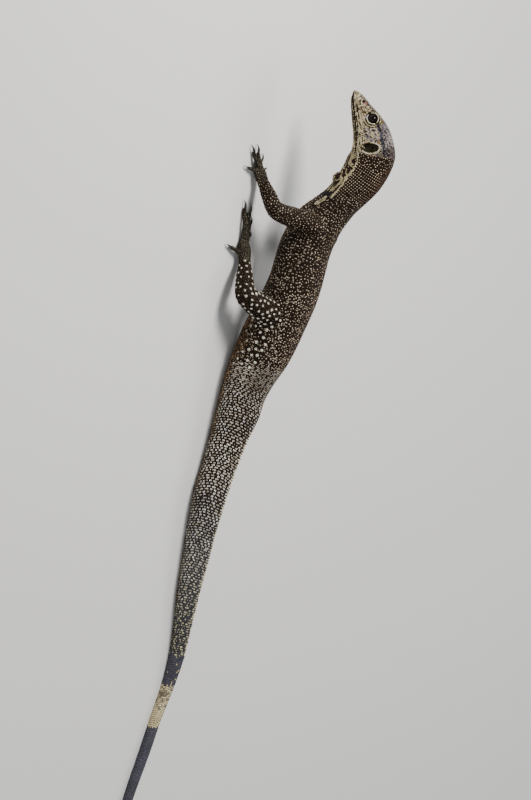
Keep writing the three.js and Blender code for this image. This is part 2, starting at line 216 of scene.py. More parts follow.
def normals_of(piece):
    return numbers(piece.data.vertices, "normal", 3).astype(float)


def set_points(piece, points):
    piece.data.vertices.foreach_set("co", np.asarray(points, np.float32).ravel())
    piece.data.update()


def onto_floor(piece):
    """Nothing of a piece stays below the floor"""
    points = points_of(piece)
    points[:, 2] = np.maximum(points[:, 2], 0)
    set_points(piece, points)


def triangles_of(mesh):
    mesh.calc_loop_triangles()
    return numbers(mesh.loop_triangles, "vertices", 3, np.int32)


def copies_of(names, name):
    """One new piece of the merged copies of some solids"""
    copies = []
    for node in names:
        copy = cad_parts[node].copy()
        copy.data = copy.data.copy()
        copy.parent = None
        for key in list(copy.keys()):
            del copy[key]
        bpy.context.scene.collection.objects.link(copy)
        copies.append(copy)
    pick(*copies)
    bpy.ops.object.join()
    piece = bpy.context.active_object
    piece.name = piece.data.name = name
    piece.data.materials.clear()
    bpy.ops.object.mode_set(mode="EDIT")
    bpy.ops.mesh.select_all(action="SELECT")
    bpy.ops.mesh.remove_doubles(threshold=0.01 * MM)
    bpy.ops.mesh.customdata_custom_splitnormals_clear()
    bpy.ops.object.mode_set(mode="OBJECT")
    return piece


# %% The flesh solids, and which of them is nearest to a point
FLESH = [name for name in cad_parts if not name.startswith(("claw_", "eye_"))]
STEMS = np.array([name.removesuffix("_left").removesuffix("_right") for name in FLESH])
solid_points, solid_faces, solid_owners = [], [], []
for index, name in enumerate(FLESH):
    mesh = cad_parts[name].data
    triangles = triangles_of(mesh)
    solid_faces.extend((triangles + len(solid_points)).tolist())
    solid_owners.extend([index] * len(triangles))
    solid_points.extend(numbers(mesh.vertices, "co", 3).tolist())
solids_tree = BVHTree.FromPolygons(solid_points, solid_faces)
print("solids of flesh:", len(FLESH), "with", len(solid_faces), "triangles")


def owners_of(points):
    """The index in FLESH of the solid that each point lies nearest to"""
    return np.array([solid_owners[solids_tree.find_nearest(p)[2]] for p in points])


# %% One closed surface
VOXEL = 0.72 * MM
SWELL = 0.22 * MM
skin = copies_of(FLESH, "skin")
swell(skin, SWELL)
apply_modifier(skin, "REMESH", mode="VOXEL", voxel_size=VOXEL)
print("skin after the remesh:", len(skin.data.polygons), "faces")

# %% Smoothing, by how wide the flesh is
ROUNDS = 60
SMOOTHING = {"head": 0.10, "neck": 0.42, "torso": 1.0, "upper_arm": 0.35, "forearm": 0.2,
             "thigh": 0.4, "shin": 0.2, "hand": 0.07, "foot": 0.07}
TAIL_BACK, TAIL_SMOOTHING = [0, 60, 150, 260, 400, 660], [0.9, 0.6, 0.32, 0.14, 0.05, 0.02]
points = points_of(skin)
stems = STEMS[owners_of(points)]
share = np.array([SMOOTHING.get(stem, 0) for stem in stems])
on_tail = np.char.startswith(stems.astype(str), "tail")
share[on_tail] = np.interp(SHIFT[0] - points[on_tail, 0] / MM, TAIL_BACK, TAIL_SMOOTHING)
group = skin.vertex_groups.new(name="smooth")
for level in np.unique(share.round(2)):
    group.add(np.flatnonzero(share.round(2) == level).tolist(), float(level), "REPLACE")
apply_modifier(skin, "SMOOTH", factor=0.5, iterations=ROUNDS, vertex_group="smooth")
print("smoothed by shares from", share.min().round(2), "to", share.max().round(2))

# %% [markdown]
# ## Small forms of the skin
# The solids hold the lids, lips, nostrils and ear openings. The finer forms round them are pushed into
# the skin here: creases that run round each eye, the cut of the mouth, a lip to the nostril and the
# ear, and the loose folds of the neck and of the flank behind the arm.

# %% Where the features of the head are: back, left and up from the tip of the snout, in millimetres
EYE_AT, EYE_FACING, EYE_SUNK = np.array([37.2, 12.6, 11.4]), unit(np.array([-0.27, 1, 0.3])), 2.7
EAR_AT, EAR_HALF, EAR_TILT = np.array([68.8, 18.4, -0.2]), (5.4, 9.6), -17
NOSTRIL_AT, NOSTRIL_HALF, NOSTRIL_TILT = np.array([16.8, 7.5, 7.0]), (3.6, 1.8), 30
MOUTH_BACK = [-4, 1, 3, 5, 7.5, 10, 21, 32, 44, 56, 80]
MOUTH_UP = [-1.5, -1.9, -2.5, -3.25, -4.1, -4.6, -6.6, -8.6, -10.8, -13.2, -18]
MOUTH_CORNER = 57
eye_across = unit(np.cross(EYE_FACING, [0, 0, 1.0]))
eye_upright = np.cross(eye_across, EYE_FACING)
print("left eye", on_head(EYE_AT).round(4), "left ear", on_head(EAR_AT).round(4))


def folded(places):
    """Head places with the right side laid on the left"""
    return places * [1, 0, 1] + np.abs(places) * [0, 1, 0]


def round_eye(places):
    """How far from the eye's axis, and how far out along it, on either side"""
    away = folded(places) - EYE_AT
    out = away @ EYE_FACING
    return np.linalg.norm(away - out[:, None] * EYE_FACING, axis=1), out


def round_hole(places, at, half, tilt):
    """One on the rim of an oval opening in the side of the head, less inside it"""
    away, turn = folded(places) - at, math.radians(tilt)
    u = away[:, 0] * math.cos(turn) + away[:, 2] * math.sin(turn)
    v = away[:, 2] * math.cos(turn) - away[:, 0] * math.sin(turn)
    return np.hypot(u / half[0], v / half[1])


def above_mouth(places):
    return places[:, 2] - np.interp(places[:, 0], MOUTH_BACK, MOUTH_UP)


def from_line(points, line):
    """The least distance to a line of several straight lengths"""
    line = np.asarray(line, float)
    least = np.full(len(points), np.inf)
    for a, b in zip(line[:-1], line[1:]):
        share = np.clip(((points - a) @ (b - a)) / ((b - a) @ (b - a)), 0, 1)
        least = np.minimum(least, np.linalg.norm(points - a - share[:, None] * (b - a), axis=1))
    return least


def neck_middle(x):
    """How far to the left the middle of the neck lies, for places along it"""
    return np.interp(x, [190, 219, 266], [-10.5, -12.2, -12.2])


# %% Pushing the forms in
NECK_FOLDS = [[[278, 10, 95.5], [267, 9.8, 97.8], [260, 9.6, 96.2], [251.6, 9.9, 94], [246.4, 9.7, 90.5],
               [239, 9.7, 87.8], [230, 9.6, 83], [221, 9.8, 77.5]],
              [[274, 8, 90], [264, 6.5, 86.5], [256, 6, 83], [250, 4.5, 78], [246, 0, 69]],
              [[243, 9, 84], [239, 6.5, 77], [236, 2, 70]]]
LID_CREASES = [(6.7, 0.2, 0.7), (8.3, -0.5, 0.6), (9.4, 0.35, 0.6), (10.5, -0.4, 0.6), (11.6, 0.3, 0.6),
               (12.7, -0.25, 0.6)]  # from the eye's axis, height and width, millimetres
OPENINGS = [(EAR_AT, EAR_HALF, EAR_TILT), (NOSTRIL_AT, NOSTRIL_HALF, NOSTRIL_TILT)]
LIP_HEIGHTS = [0.5, 0.4]
heads = head_places(points_of(skin))
at_tip = (heads[:, 0] < 25) & (np.abs(heads[:, 1:]) < 20).all(1)
narrower = 1 - 0.40 * bell(np.maximum(heads[:, 0] - 0.5, 0), 4.2)
heads[at_tip, 1:] *= narrower[at_tip, None]
heads[at_tip, 2] -= (1.2 * bell(heads[:, 0] - 8, 6) * steps(heads[:, 2], 2.5, 7))[at_tip]
set_points(skin, on_head(heads))
points, normals = points_of(skin), normals_of(skin)
push = np.zeros(len(points))  # millimetres along the normal
back_at, left_at, up_at = folded(heads).T
near_head = (back_at > -5) & (back_at < 95) & (left_at < 30) & (np.abs(up_at) < 40)
off_axis, out = round_eye(heads)
on_lids = near_head & (out > -4.5) & (off_axis < 15)
for at, height, width in LID_CREASES:
    push[on_lids] += height * bell(off_axis[on_lids] - at, width)
gap = above_mouth(heads)
on_lips = near_head & (back_at < MOUTH_CORNER) & (left_at > 2)
push[on_lips] += -0.8 * bell(gap[on_lips], 0.5) + 0.2 * bell(np.abs(gap[on_lips]) - 1.3, 0.6)
for opening, height in zip(OPENINGS, LIP_HEIGHTS):
    span = (round_hole(heads, *opening) - 1) * min(opening[1])
    side = near_head & (left_at > 3) & (span > 0) & (span < 4)
    push[side] += height * bell(span[side] - 0.8, 0.7)
vents = points / MM - SHIFT
for sign in (1, -1):
    for fold in NECK_FOLDS:
        line = np.array(fold, float)
        middle = neck_middle(line[:, 0])
        line[:, 1] = middle + sign * (line[:, 1] - middle)
        gap = from_line(vents, line)
        push += 0.7 * bell(gap, 1.3) - 0.35 * bell(gap - 3.0, 1.0)
wave = np.array([noise.noise(Vector(p) * 90) for p in points])
flank = bell(vents[:, 0] - 152, 12) * bell(vents[:, 2] - 44, 20) * steps(np.abs(vents[:, 1] + 8), 12, 20)
loose = bell(vents[:, 0] - 215, 22) * steps(92 - vents[:, 2], 0, 18)
for wrinkled, height, length, bend in ((flank, 0.55, 3.0, 3.5), (loose, 0.3, 4.2, 4)):
    push += height * wrinkled * np.sin(2 * math.pi * vents[:, 0] / length + bend * wave)
set_points(skin, points + push[:, None] * MM * normals)
print("pushed in and out:", push.min().round(2), push.max().round(2), "mm")

# %% [markdown]
# Last the skin is drawn in by the height of the scales that will stand on it, and made of fewer faces
# where nothing on it is fine.

# %% Drawing the skin in
COAT = 0.3 * MM
SKIN_FACES = 196000
swell(skin, -(COAT + SWELL))
onto_floor(skin)
coarse = skin.vertex_groups.new(name="coarse")
coarse.add(np.flatnonzero(~np.isin(stems, ["head", "hand", "foot"])).tolist(), 1.0, "REPLACE")
count = 2 * len(skin.data.polygons)
apply_modifier(skin, "DECIMATE", ratio=SKIN_FACES / count, vertex_group="coarse", vertex_group_factor=1.0)
skin.vertex_groups.clear()
pick(skin)
bpy.ops.object.shade_smooth()
print("skin:", len(triangles_of(skin.data)), "triangles, lowest at", points_of(skin)[:, 2].min().round(5))

# %% [markdown]
# ## Setting scales on the skin
# A monitor is covered in small, domed, bead-like scales that fit each other like paving. They run in
# rings round the neck, trunk and tail, stand in rows along the lips and round the eyes, ears and
# nostrils, and lie without order elsewhere. So the rows are set first. The rest of the skin is then
# filled with places that move, a few times over, to the middle of the skin that is nearest to them.

# %% The skin as a surface
rng = np.random.default_rng(7)
skin_points, skin_normals, skin_triangles = points_of(skin), normals_of(skin), triangles_of(skin.data)
skin_tree = BVHTree.FromPolygons(skin_points.tolist(), skin_triangles.tolist())


def shares_in(corners, points):
    """How much of each corner of its triangle a point takes"""
    a, b, c = corners[:, 0], corners[:, 1], corners[:, 2]
    ab, ac, ap = b - a, c - a, points - a
    bb, bc, cc = (ab * ab).sum(1), (ab * ac).sum(1), (ac * ac).sum(1)
    pb, pc = (ap * ab).sum(1), (ap * ac).sum(1)
    area = np.maximum(bb * cc - bc * bc, 1e-30)
    v, w = (cc * pb - bc * pc) / area, (bb * pc - bc * pb) / area
    shares = np.clip(np.stack([1 - v - w, v, w], 1), 0, 1)
    return shares / shares.sum(1, keepdims=True)


def onto_skin(points):
    """The nearest places on the skin: points, normals, distance moved"""
    found = [skin_tree.find_nearest(p) for p in points]
    at = np.array([f[0] for f in found])
    corners = skin_triangles[[f[2] for f in found]]
    shares = shares_in(skin_points[corners], at)
    normals = unit((skin_normals[corners] * shares[:, :, None]).sum(1))
    return at, normals, np.array([f[3] for f in found])


def tree_of(points):
    tree = KDTree(len(points))
    for i, p in enumerate(points):
        tree.insert(p, i)
    tree.balance()
    return tree


# %% Lines, and places on them
def lengths_along(line):
    """How far along a line of straight lengths each of its points is"""
    return np.concatenate([[0], np.cumsum(np.linalg.norm(np.diff(line, axis=0), axis=1))])


def evenly(line, apart_by, closed):
    """Places set evenly along a line of straight lengths"""
    line = np.asarray(line, float)
    if closed:
        line = np.concatenate([line, line[:1]])
    gone = lengths_along(line)
    count = max(2, round(gone[-1] / apart_by))
    stops = np.arange(count) * gone[-1] / count if closed else np.linspace(0, gone[-1], count + 1)
    return np.stack([np.interp(stops, gone, line[:, i]) for i in range(line.shape[1])], 1)


def hit_on_skin(start, toward):
    """Where a line of sight meets the skin, or None"""
    hit = skin_tree.ray_cast(start, toward)[0]
    return None if hit is None else np.array(hit)


def from_side(places, hand):
    """Back and up, as places that are looked for on the skin from that side"""
    starts = on_head(np.stack([places[:, 0], np.full(len(places), 40.0 * hand), places[:, 1]], 1))
    return [hit_on_skin(start, -hand * head_left) for start in starts]


def oval(at, half, tilt, grown):
    """The rim of an opening in back and up, grown on every side"""
    turn, angles = math.radians(tilt), np.linspace(0, 2 * math.pi, 60, endpoint=False)
    u, v = (half[0] + grown) * np.cos(angles), (half[1] + grown) * np.sin(angles)
    rim_back = at[0] + u * math.cos(turn) - v * math.sin(turn)
    rim_up = at[2] + u * math.sin(turn) + v * math.cos(turn)
    return np.stack([rim_back, rim_up], 1)


def off_mouth(by, first, last):
    """The line of the mouth in back and up, moved up"""
    backs = np.arange(first, last, 1.0)
    return np.stack([backs, np.interp(backs, MOUTH_BACK, MOUTH_UP) + by], 1)


# %% Lists that grow together
def lists_of(*names):
    return {name: [] for name in names}


def add_to(lists, **values):
    for name, value in values.items():
        lists[name].append(value)


def as_arrays(lists):
    return {name: np.array(values) for name, values in lists.items()}


def only(lists, chosen):
    return {name: values[chosen] for name, values in lists.items()}


# %% The rows of the head: along the lips, up the cheek, and round the eye, the ear and the nostril
SIDE_ROWS = [  # kind, line in back and up, apart by, whether it closes, how wide a scale is
    ("mouth", off_mouth(0, 1, MOUTH_CORNER), 0.85, False, 0.9),
    ("upper_lip", off_mouth(1.1, 2, 58), 2.0, False, 1.2),
    ("upper_lip_2", off_mouth(2.5, 3, 46), 1.9, False, 1.25),
    ("lower_lip", off_mouth(-1.1, 2, 58), 2.0, False, 1.2),
    ("lower_lip_2", off_mouth(-2.5, 6, 62), 2.2, False, 1.25),
    ("streak", [[42, -7.6], [51, -9.2], [58, -9.8], [63.2, -8.8], [66, -7.6]], 2.3, False, 1.15),
    ("streak", [[34, -3.4], [41.7, -3.0], [47, -3.3], [53.4, -4.8]], 2.3, False, 1.0),
    ("streak", [[26, -4.0], [34, -5.6], [41, -6.0], [46, -5.6], [54, -7.2], [60, -7.6]], 2.2, False, 1.0),
    ("streak", [[60, -13.4], [66, -15.4], [73, -15.9]], 2.3, False, 1.2),
    ("streak", [[58, -17.2], [65, -19.0], [72, -19.6]], 2.3, False, 1.2),
    ("ear_rim", oval(*OPENINGS[0], 0.9), 1.6, True, 1.2),
    ("ear_rim_2", oval(*OPENINGS[0], 2.2), 1.8, True, 1.3),
    ("nostril_rim", oval(*OPENINGS[1], 0.7), 1.2, True, 1.0),
]
LID_ROWS = [  # kind, distance from the eye's axis, apart by, how wide a scale is
    ("lid", 6.6, 1.25, 1.1),
    ("lid_2", 8.0, 1.5, 1.1),
    ("lid_3", 9.35, 1.7, 1.1),
    ("lid_4", 10.7, 1.8, 1.1),
]
MOUTH_CLEAR, ROW_CLEAR = 0.62 * MM, 0.85 * MM  # how near a scale of another row may stand
row_scales = lists_of("points", "ways", "kinds", "longs", "wides", "counts")


def add_row(kind, hits, long, wide):
    """One row, each scale with its way along it. The ends of a row that doesn't close look one way only"""
    good = [i for i, hit in enumerate(hits) if hit is not None]
    for count, i in enumerate(good):
        ahead, behind = hits[good[(count + 1) % len(good)]], hits[good[count - 1]]
        if count == 0:
            behind = hits[i] if np.linalg.norm(ahead - behind) > 4 * long * MM else behind
        if count == len(good) - 1:
            ahead = hits[i] if np.linalg.norm(ahead - behind) > 4 * long * MM else ahead
        add_to(row_scales, points=hits[i], ways=ahead - behind, kinds=kind,
               longs=long, wides=wide, counts=count)


for _, hand in SIDE_HANDS:
    side = np.array([1, hand, 1])
    for kind, line, apart_by, closed, wide in SIDE_ROWS:
        add_row(kind, from_side(evenly(line, apart_by, closed), hand), apart_by, wide)
    for kind, away, apart_by, wide in LID_ROWS:
        count = round(2 * math.pi * away / apart_by)
        hits = []
        for turn in np.arange(count) * 2 * math.pi / count:
            at = EYE_AT + away * (math.cos(turn) * eye_across + math.sin(turn) * eye_upright)
            start = on_head((at + 14 * EYE_FACING) * side)
            hits.append(hit_on_skin(start, (-EYE_FACING * side) @ HEAD_AXES))
        add_row(kind, hits, apart_by, wide)
row_scales = as_arrays(row_scales)
row_scales["points"], row_scales["normals"], _ = onto_skin(row_scales["points"])
row_scales["ways"] = unit(row_scales["ways"])
row_points, of_mouth = row_scales["points"], row_scales["kinds"] == "mouth"
keep, row_tree = np.ones(len(row_points), bool), tree_of(row_points)
for i in range(len(row_points)):  # where two rows cross, the one that was set first stays
    if keep[i]:
        for _, j, _ in row_tree.find_range(row_points[i], MOUTH_CLEAR if of_mouth[i] else ROW_CLEAR):
            if j > i and not (of_mouth[i] and of_mouth[j]):
                keep[j] = False
row_scales = only(row_scales, keep)
row_tree = tree_of(row_scales["points"])
print("scales in rows on the head:", len(row_scales["points"]))

# %% The line that the rings are strung on
NECK_LINE = [[266, -12.2, 103.2], [250, -12.5, 96.6], [234, -12.5, 88.2], [219, -12.2, 80],
             [204, -11.5, 70.4], [190, -10.5, 61.6]]
TRUNK_LINE = [[173, -9.2, 55.6], [137, -6.6, 52.6], [99, -3.8, 51], [75, -2, 46.4], [53, 0, 42],
              [28, 2, 37], [2, 3.8, 30.8]]
TAIL_LINE = [[-24, 4.6, 27], [-60, 5, 24.6], [-104, 7.4, 21.4], [-150, 12, 20.4], [-184, 6.6, 18.2],
             [-222, -1, 16.2], [-262, -9.6, 13.8], [-300, -22.4, 11], [-338, -31, 9.2],
             [-372, -31.4, 7.5], [-410, -23.6, 6.5], [-450, -15.4, 6.5], [-500, -5, 5.9],
             [-556, 1.5, 4.8], [-608, 3, 3.4], [-645, 1, 2.1], [-658, 0, 1.4]]
knots = place(NECK_LINE + TRUNK_LINE + TAIL_LINE)
lengths = lengths_along(knots)
slopes = np.gradient(knots, lengths, axis=0)
LINE_STEP = 0.5 * MM
at_length = np.arange(0, lengths[-1], LINE_STEP)
knot = np.clip(np.searchsorted(lengths, at_length) - 1, 0, len(lengths) - 2)
span = (lengths[knot + 1] - lengths[knot])[:, None]
t = ((at_length - lengths[knot])[:, None]) / span
line = ((2 * t**3 - 3 * t**2 + 1) * knots[knot] + (t**3 - 2 * t**2 + t) * span * slopes[knot]
        + (3 * t**2 - 2 * t**3) * knots[knot + 1] + (t**3 - t**2) * span * slopes[knot + 1])
line_ahead = -unit(np.gradient(line, axis=0))
line_x = line[:, 0] / MM - SHIFT[0]  # from the vent, millimetres
line_left = unit(np.cross([0, 0, 1.0], line_ahead))
rolls = np.radians(-np.interp(line_x, [204, 219, 234, 250, 266], [0, -2, -4, -8, -12]))[:, None]
line_left = line_left * np.cos(rolls) + np.cross(line_ahead, line_left) * np.sin(rolls)
line_top = np.cross(line_ahead, line_left)
print("line:", round(float(lengths[-1]), 3), "m long")

# %% Rings of scales round the neck, trunk and tail
SPINE = [i for i, name in enumerate(FLESH) if name.split("_")[0] in ("neck", "torso", "tail")]
spine_faces = [face for face, owner in zip(solid_faces, solid_owners) if owner in SPINE]
spine_tree = BVHTree.FromPolygons(solid_points, spine_faces)
ROW_PLACES = [-660, -450, -300, -60, 0, 60, 190, 215, 280]  # from the vent, millimetres
ROW_LONG = [1.7, 2.3, 2.9, 3.1, 2.4, 1.85, 1.75, 1.5, 1.4]  # from row to row
ROW_WIDE = [1.0, 1.3, 1.5, 1.6, 1.65, 1.7, 1.6, 1.45, 1.4]  # from scale to scale
STRAY = [0.0, 0.0, 0.0, 0.05, 0.3, 0.42, 0.35, 0.15, 0.05]  # how far a scale may stray from its ring
SWEEP, SWEEP_AT = 0.36, math.radians(66)  # the tail's rings lean towards the head, most at this turn
STAGGERED_FROM = 20  # from here on the rows are laid like bricks
RIM_RAYS = 49
CROWDED = 0.62  # of the width, within which only one scale of the rings stays
ring_scales = lists_of("points", "rows", "columns", "turns", "backs", "longs", "wides", "counts")

reached, row = 1.0 * MM, 0
while reached < at_length[-1]:
    i = int(reached / LINE_STEP)
    x = line_x[i]
    long, wide, stray = (np.interp(x, ROW_PLACES, values) for values in (ROW_LONG, ROW_WIDE, STRAY))
    angles = np.linspace(0, 2 * math.pi, RIM_RAYS)
    rays = np.cos(angles)[:, None] * line_top[i] + np.sin(angles)[:, None] * line_left[i]
    hits = [spine_tree.ray_cast(line[i], ray)[0] for ray in rays]
    if not any(hit is None for hit in hits):
        around = lengths_along(np.array(hits))
        count = 2 * max(3, round(around[-1] / (2 * wide * MM)))
        offset = 0.5 * (row % 2) if x > STAGGERED_FROM else 0.5
        stops = (np.arange(count) + offset) / count * around[-1]
        strays = stray * MM * rng.uniform(-1, 1, (count, 2))
        turned = np.interp(stops + strays[:, 0], around, angles)
        lean = SWEEP * around[-1] / (2 * math.pi) * steps(40 - x, 0, 80)
        for column, (angle, along) in enumerate(zip(turned, strays[:, 1])):
            from_top = angle if angle < math.pi else 2 * math.pi - angle
            on_line = (reached - lean * math.cos(from_top - SWEEP_AT) + along) / LINE_STEP
            j = int(np.clip(on_line, 0, len(line) - 1))
            toward = math.cos(angle) * line_top[j] + math.sin(angle) * line_left[j]
            hit = spine_tree.ray_cast(line[j], toward)[0]
            if hit is not None:
                add_to(ring_scales, points=hit, rows=row, columns=column, turns=angle, backs=-line_ahead[j],
                       longs=long, wides=wide, counts=count)
        row += 1
    reached += long * MM
ring_scales = as_arrays(ring_scales)
ring_scales["points"], ring_scales["normals"], moved = onto_skin(ring_scales["points"])
from_rows = np.array([row_tree.find(p)[2] for p in ring_scales["points"]])
keep = (moved < 1.4 * MM) & (from_rows > 1.0 * MM)
order, crowd = rng.permutation(np.flatnonzero(keep)), tree_of(ring_scales["points"])
for i in order:  # rows that run together inside a bend are thinned
    if keep[i]:
        for _, j, _ in crowd.find_range(ring_scales["points"][i], CROWDED * ring_scales["wides"][i] * MM):
            if j != i:
                keep[j] = False
ring_scales = only(ring_scales, keep)
print("scales in rings:", len(ring_scales["points"]), "in", row, "rows")

# %% Samples all over the skin, more where the scales are small
SCALE_SIZES = {"head": 1.2, "neck": 1.4, "torso": 1.75, "upper_arm": 1.55, "forearm": 1.4, "hand": 1.2,
               "thigh": 1.75, "shin": 1.5, "foot": 1.25}  # from middle to middle, millimetres
USUAL_SIZE = 1.7
SAMPLES = 13  # for each scale
HEXAGON = 0.866  # the area of an even paving's scale, for a width of one
stem_sizes = np.array([SCALE_SIZES.get(stem, USUAL_SIZE) for stem in STEMS]) * MM
triangle_points = skin_points[skin_triangles]
edge_b, edge_c = (triangle_points[:, i] - triangle_points[:, 0] for i in (1, 2))
triangle_areas = 0.5 * np.linalg.norm(np.cross(edge_b, edge_c), axis=1)
triangle_owners = owners_of(triangle_points.mean(1))
wanted = triangle_areas / (HEXAGON * stem_sizes[triangle_owners] ** 2)
print("skin area", triangle_areas.sum().round(4), "m2, would hold", int(wanted.sum()), "scales")
picked = rng.choice(len(wanted), int(SAMPLES * wanted.sum()), p=wanted / wanted.sum())
a, b = rng.random((2, len(picked), 1))
flip = a + b > 1
a, b = np.where(flip, 1 - a, a), np.where(flip, 1 - b, b)
samples = triangle_points[picked, 0] + a * edge_b[picked] + b * edge_c[picked]
sample_sizes = stem_sizes[triangle_owners[picked]]

# %% The rest of the skin, filled evenly
RELAXING = 5
EYE_DEPTH = 7.4  # millimetres from the middle of the eyeball, within which nothing grows


def from_eyeball(heads):
    return np.linalg.norm(folded(heads) - (EYE_AT - EYE_SUNK * EYE_FACING), axis=1)


def bare_places(points):
    """Where no scale grows: behind the eyeballs, in the ears and in the nostrils"""
    heads = head_places(points)
    bare = from_eyeball(heads) < EYE_DEPTH
    for opening in OPENINGS:
        bare |= (round_hole(heads, *opening) < 1.04) & (np.abs(heads[:, 1]) > 3) & (heads[:, 0] < 90)
    return bare


fixed_points = np.concatenate([row_scales["points"], ring_scales["points"]])
fixed_tree = tree_of(fixed_points)
near_fixed = np.array([fixed_tree.find(p)[2] for p in samples])
free = samples[(near_fixed > 0.74 * sample_sizes) & ~bare_places(samples)]
filled = free[rng.choice(len(free), len(free) // SAMPLES, replace=False)]
for turn in range(RELAXING):
    both = tree_of(np.concatenate([fixed_points, filled]))
    nearest = np.array([both.find(p)[1] for p in free]) - len(fixed_points)
    own = nearest >= 0
    total = np.zeros_like(filled)
    np.add.at(total, nearest[own], free[own])
    held = np.bincount(nearest[own], minlength=len(filled))
    filled = np.where(held[:, None] > 0, total / np.maximum(held, 1)[:, None], filled)
    filled, filled_normals, _ = onto_skin(filled)
print("filled scales:", len(filled))

# %% All the scales together
spots = np.concatenate([fixed_points, filled])
normals = np.concatenate([row_scales["normals"], ring_scales["normals"], filled_normals])
spot_owners = owners_of(spots)
spot_stems = STEMS[spot_owners]


def joined(in_rows, in_rings, elsewhere):
    """One list for all scales: that of the rows, that of the rings, and one value for the others"""
    return np.concatenate([in_rows, in_rings, np.full((len(filled),) + np.shape(in_rows)[1:], elsewhere)])


backward = joined(row_scales["ways"], ring_scales["backs"], -forward)
backward = unit(backward - (backward * normals).sum(1, keepdims=True) * normals)
sideways = np.cross(normals, backward)
none = np.full(len(row_scales["points"]), -1)
rows, columns, counts = (joined(none, ring_scales[name], -1) for name in ("rows", "columns", "counts"))
turns = joined(none * np.nan, ring_scales["turns"], np.nan)  # from the top towards the left, in radians
row_kinds = np.concatenate([row_scales["kinds"], np.full(len(spots) - len(none), "none")])
fill_sizes = stem_sizes[spot_owners] / MM
longs, wides = (joined(row_scales[name], ring_scales[name], np.nan) for name in ("longs", "wides"))
longs, wides = (np.where(np.isnan(sizes), fill_sizes, sizes) for sizes in (longs, wides))
spot_tree = tree_of(spots)
print("scales:", len(spots))

# %% [markdown]
# ## The outline of each scale
# Each scale reaches half way to its neighbours on every side, less a narrow groove, so that no two
# cross and no skin lies bare. Its rim is sunk in the skin, its shoulder is raised, and its middle is
# raised a little more.

# %% Neighbours, and half the way to them in eight directions
SIDES = 8
NEIGHBOURS = 13
GROOVE = 0.06 * MM
MOST_REACH = 0.70  # of the scale's own length or width
LEAST_REACH = 0.15 * MM
found = [spot_tree.find_n(p, NEIGHBOURS) for p in spots]
beside = np.array([[f[1] for f in near[1:]] for near in found])
apart = spots[beside] - spots[:, None]
distance = np.linalg.norm(apart, axis=2)
apart_back, apart_side = (apart * backward[:, None]).sum(2), (apart * sideways[:, None]).sum(2)
same_face = (normals[beside] * normals[:, None]).sum(2) > 0
paved = (rows >= 0) & (turns == turns) & (spots[:, 0] / MM - SHIFT[0] < STAGGERED_FROM)
even = (np.arange(SIDES) + 0.5) * 2 * math.pi / SIDES
square = np.radians([33, 57, 123, 147, 213, 237, 303, 327])
direction = np.where(paved[:, None], square, even)
corner_back, corner_side = longs[:, None] * MM * np.cos(direction), wides[:, None] * MM * np.sin(direction)
reach = np.full((len(spots), SIDES), MOST_REACH)
for side in range(SIDES):
    toward = apart_back * corner_back[:, side, None] + apart_side * corner_side[:, side, None]
    in_the_way = (toward > 0.05 * distance**2) & same_face
    half = np.where(in_the_way, 0.5 * distance**2 / np.maximum(toward, 1e-12), np.inf)
    reach[:, side] = np.minimum(half.min(1), MOST_REACH)
far = reach * np.hypot(corner_back, corner_side)
reach *= np.maximum(0.96 * far - GROOVE, LEAST_REACH) / far
corner_back, corner_side = reach * corner_back, reach * corner_side
across = 2 * np.hypot(corner_back, corner_side).mean(1)
print("scale width, millimetres:", np.percentile(across / MM, [1, 50, 99]).round(2))

# %% [markdown]
# ## Markings
# Each scale has the colour of its mark, in the middle, and of the ground round it. The mark may fill
# the scale, be a small dot in it, or run across it into the marks of the scales beside it. On the neck
# the marks stand in rows, on the trunk they wander but keep apart, on the hind legs they are round
# spots, and on the tail they join in dashes across it. The head is paler, with streaks, bars and
# flecks, and the end of the tail is slate with one cream band. One image over the skin could carry all
# this, but marks that are chosen scale by scale keep to the scales, as they do on the animal.

# %% Colours, and ways to choose scales
def colour(text):
    """A colour as on a screen, such as 1d1713, in the linear light that materials use"""
    levels = np.array([int(text[i : i + 2], 16) / 255 for i in (0, 2, 4)])
    return np.where(levels <= 0.04045, levels / 12.92, ((levels + 0.055) / 1.055) ** 2.4)


def mix(a, b, share):
    return a + (b - a) * np.clip(np.asarray(share, float), 0, 1)[..., None]


def between(one, other, share):
    """A tone for every scale, some way from one colour to another"""
    return mix(colour(one), colour(other), share)


def drawn(one, other):
    """The same, each scale's share being drawn"""
    return between(one, other, draw)


def either(chosen, one, other):
    """One tone for the chosen scales, and the other for the rest"""
    return np.where(chosen[:, None], one, other)


def in_three(level, low, high, under, middle, over):
    """One of three tones for every scale, by how high a noise stands there"""
    return either(level < low, under, either(level > high, over, middle))


def wobble(size, seed):
    """Smooth noise over the lizard, from about -1 to 1, with forms of about this size in millimetres"""
    shift = Vector((seed * 7.3, seed * 3.1, seed * 5.7))
    return np.array([noise.noise(Vector(p) / (size * MM) + shift) for p in spots]) * 1.7


def streaky(along, aside, long, short, seed):
    """The same, but drawn out along one direction, and not alike on the two sides"""
    depths = seed * 4.7 + 1.3 * (heads[:, 1] > 0)
    return np.array([noise.noise(Vector(p)) for p in zip(along / long, aside / short, depths)]) * 1.7


def apart_from(among, by):
    """Scales out of a set that keep their distance from each other, taken in a drawn order"""
    shut, chosen = ~among, np.zeros(len(spots), bool)
    by = np.broadcast_to(by, len(spots))
    for i in rng.permutation(np.flatnonzero(among)):
        if not shut[i]:
            chosen[i] = True
            for _, j, _ in spot_tree.find_range(spots[i], by[i]):
                shut[j] = True
    return chosen


def beside_chosen(chosen, least, most):
    """The scales next to chosen ones: each takes from least to most of its nearest"""
    joined_in = chosen.copy()
    for i in np.flatnonzero(chosen):
        near = slice(0, rng.integers(least, most + 1))
        joined_in[beside[i, near][distance[i, near] < 1.5 * longs[i] * MM]] = True
    return joined_in


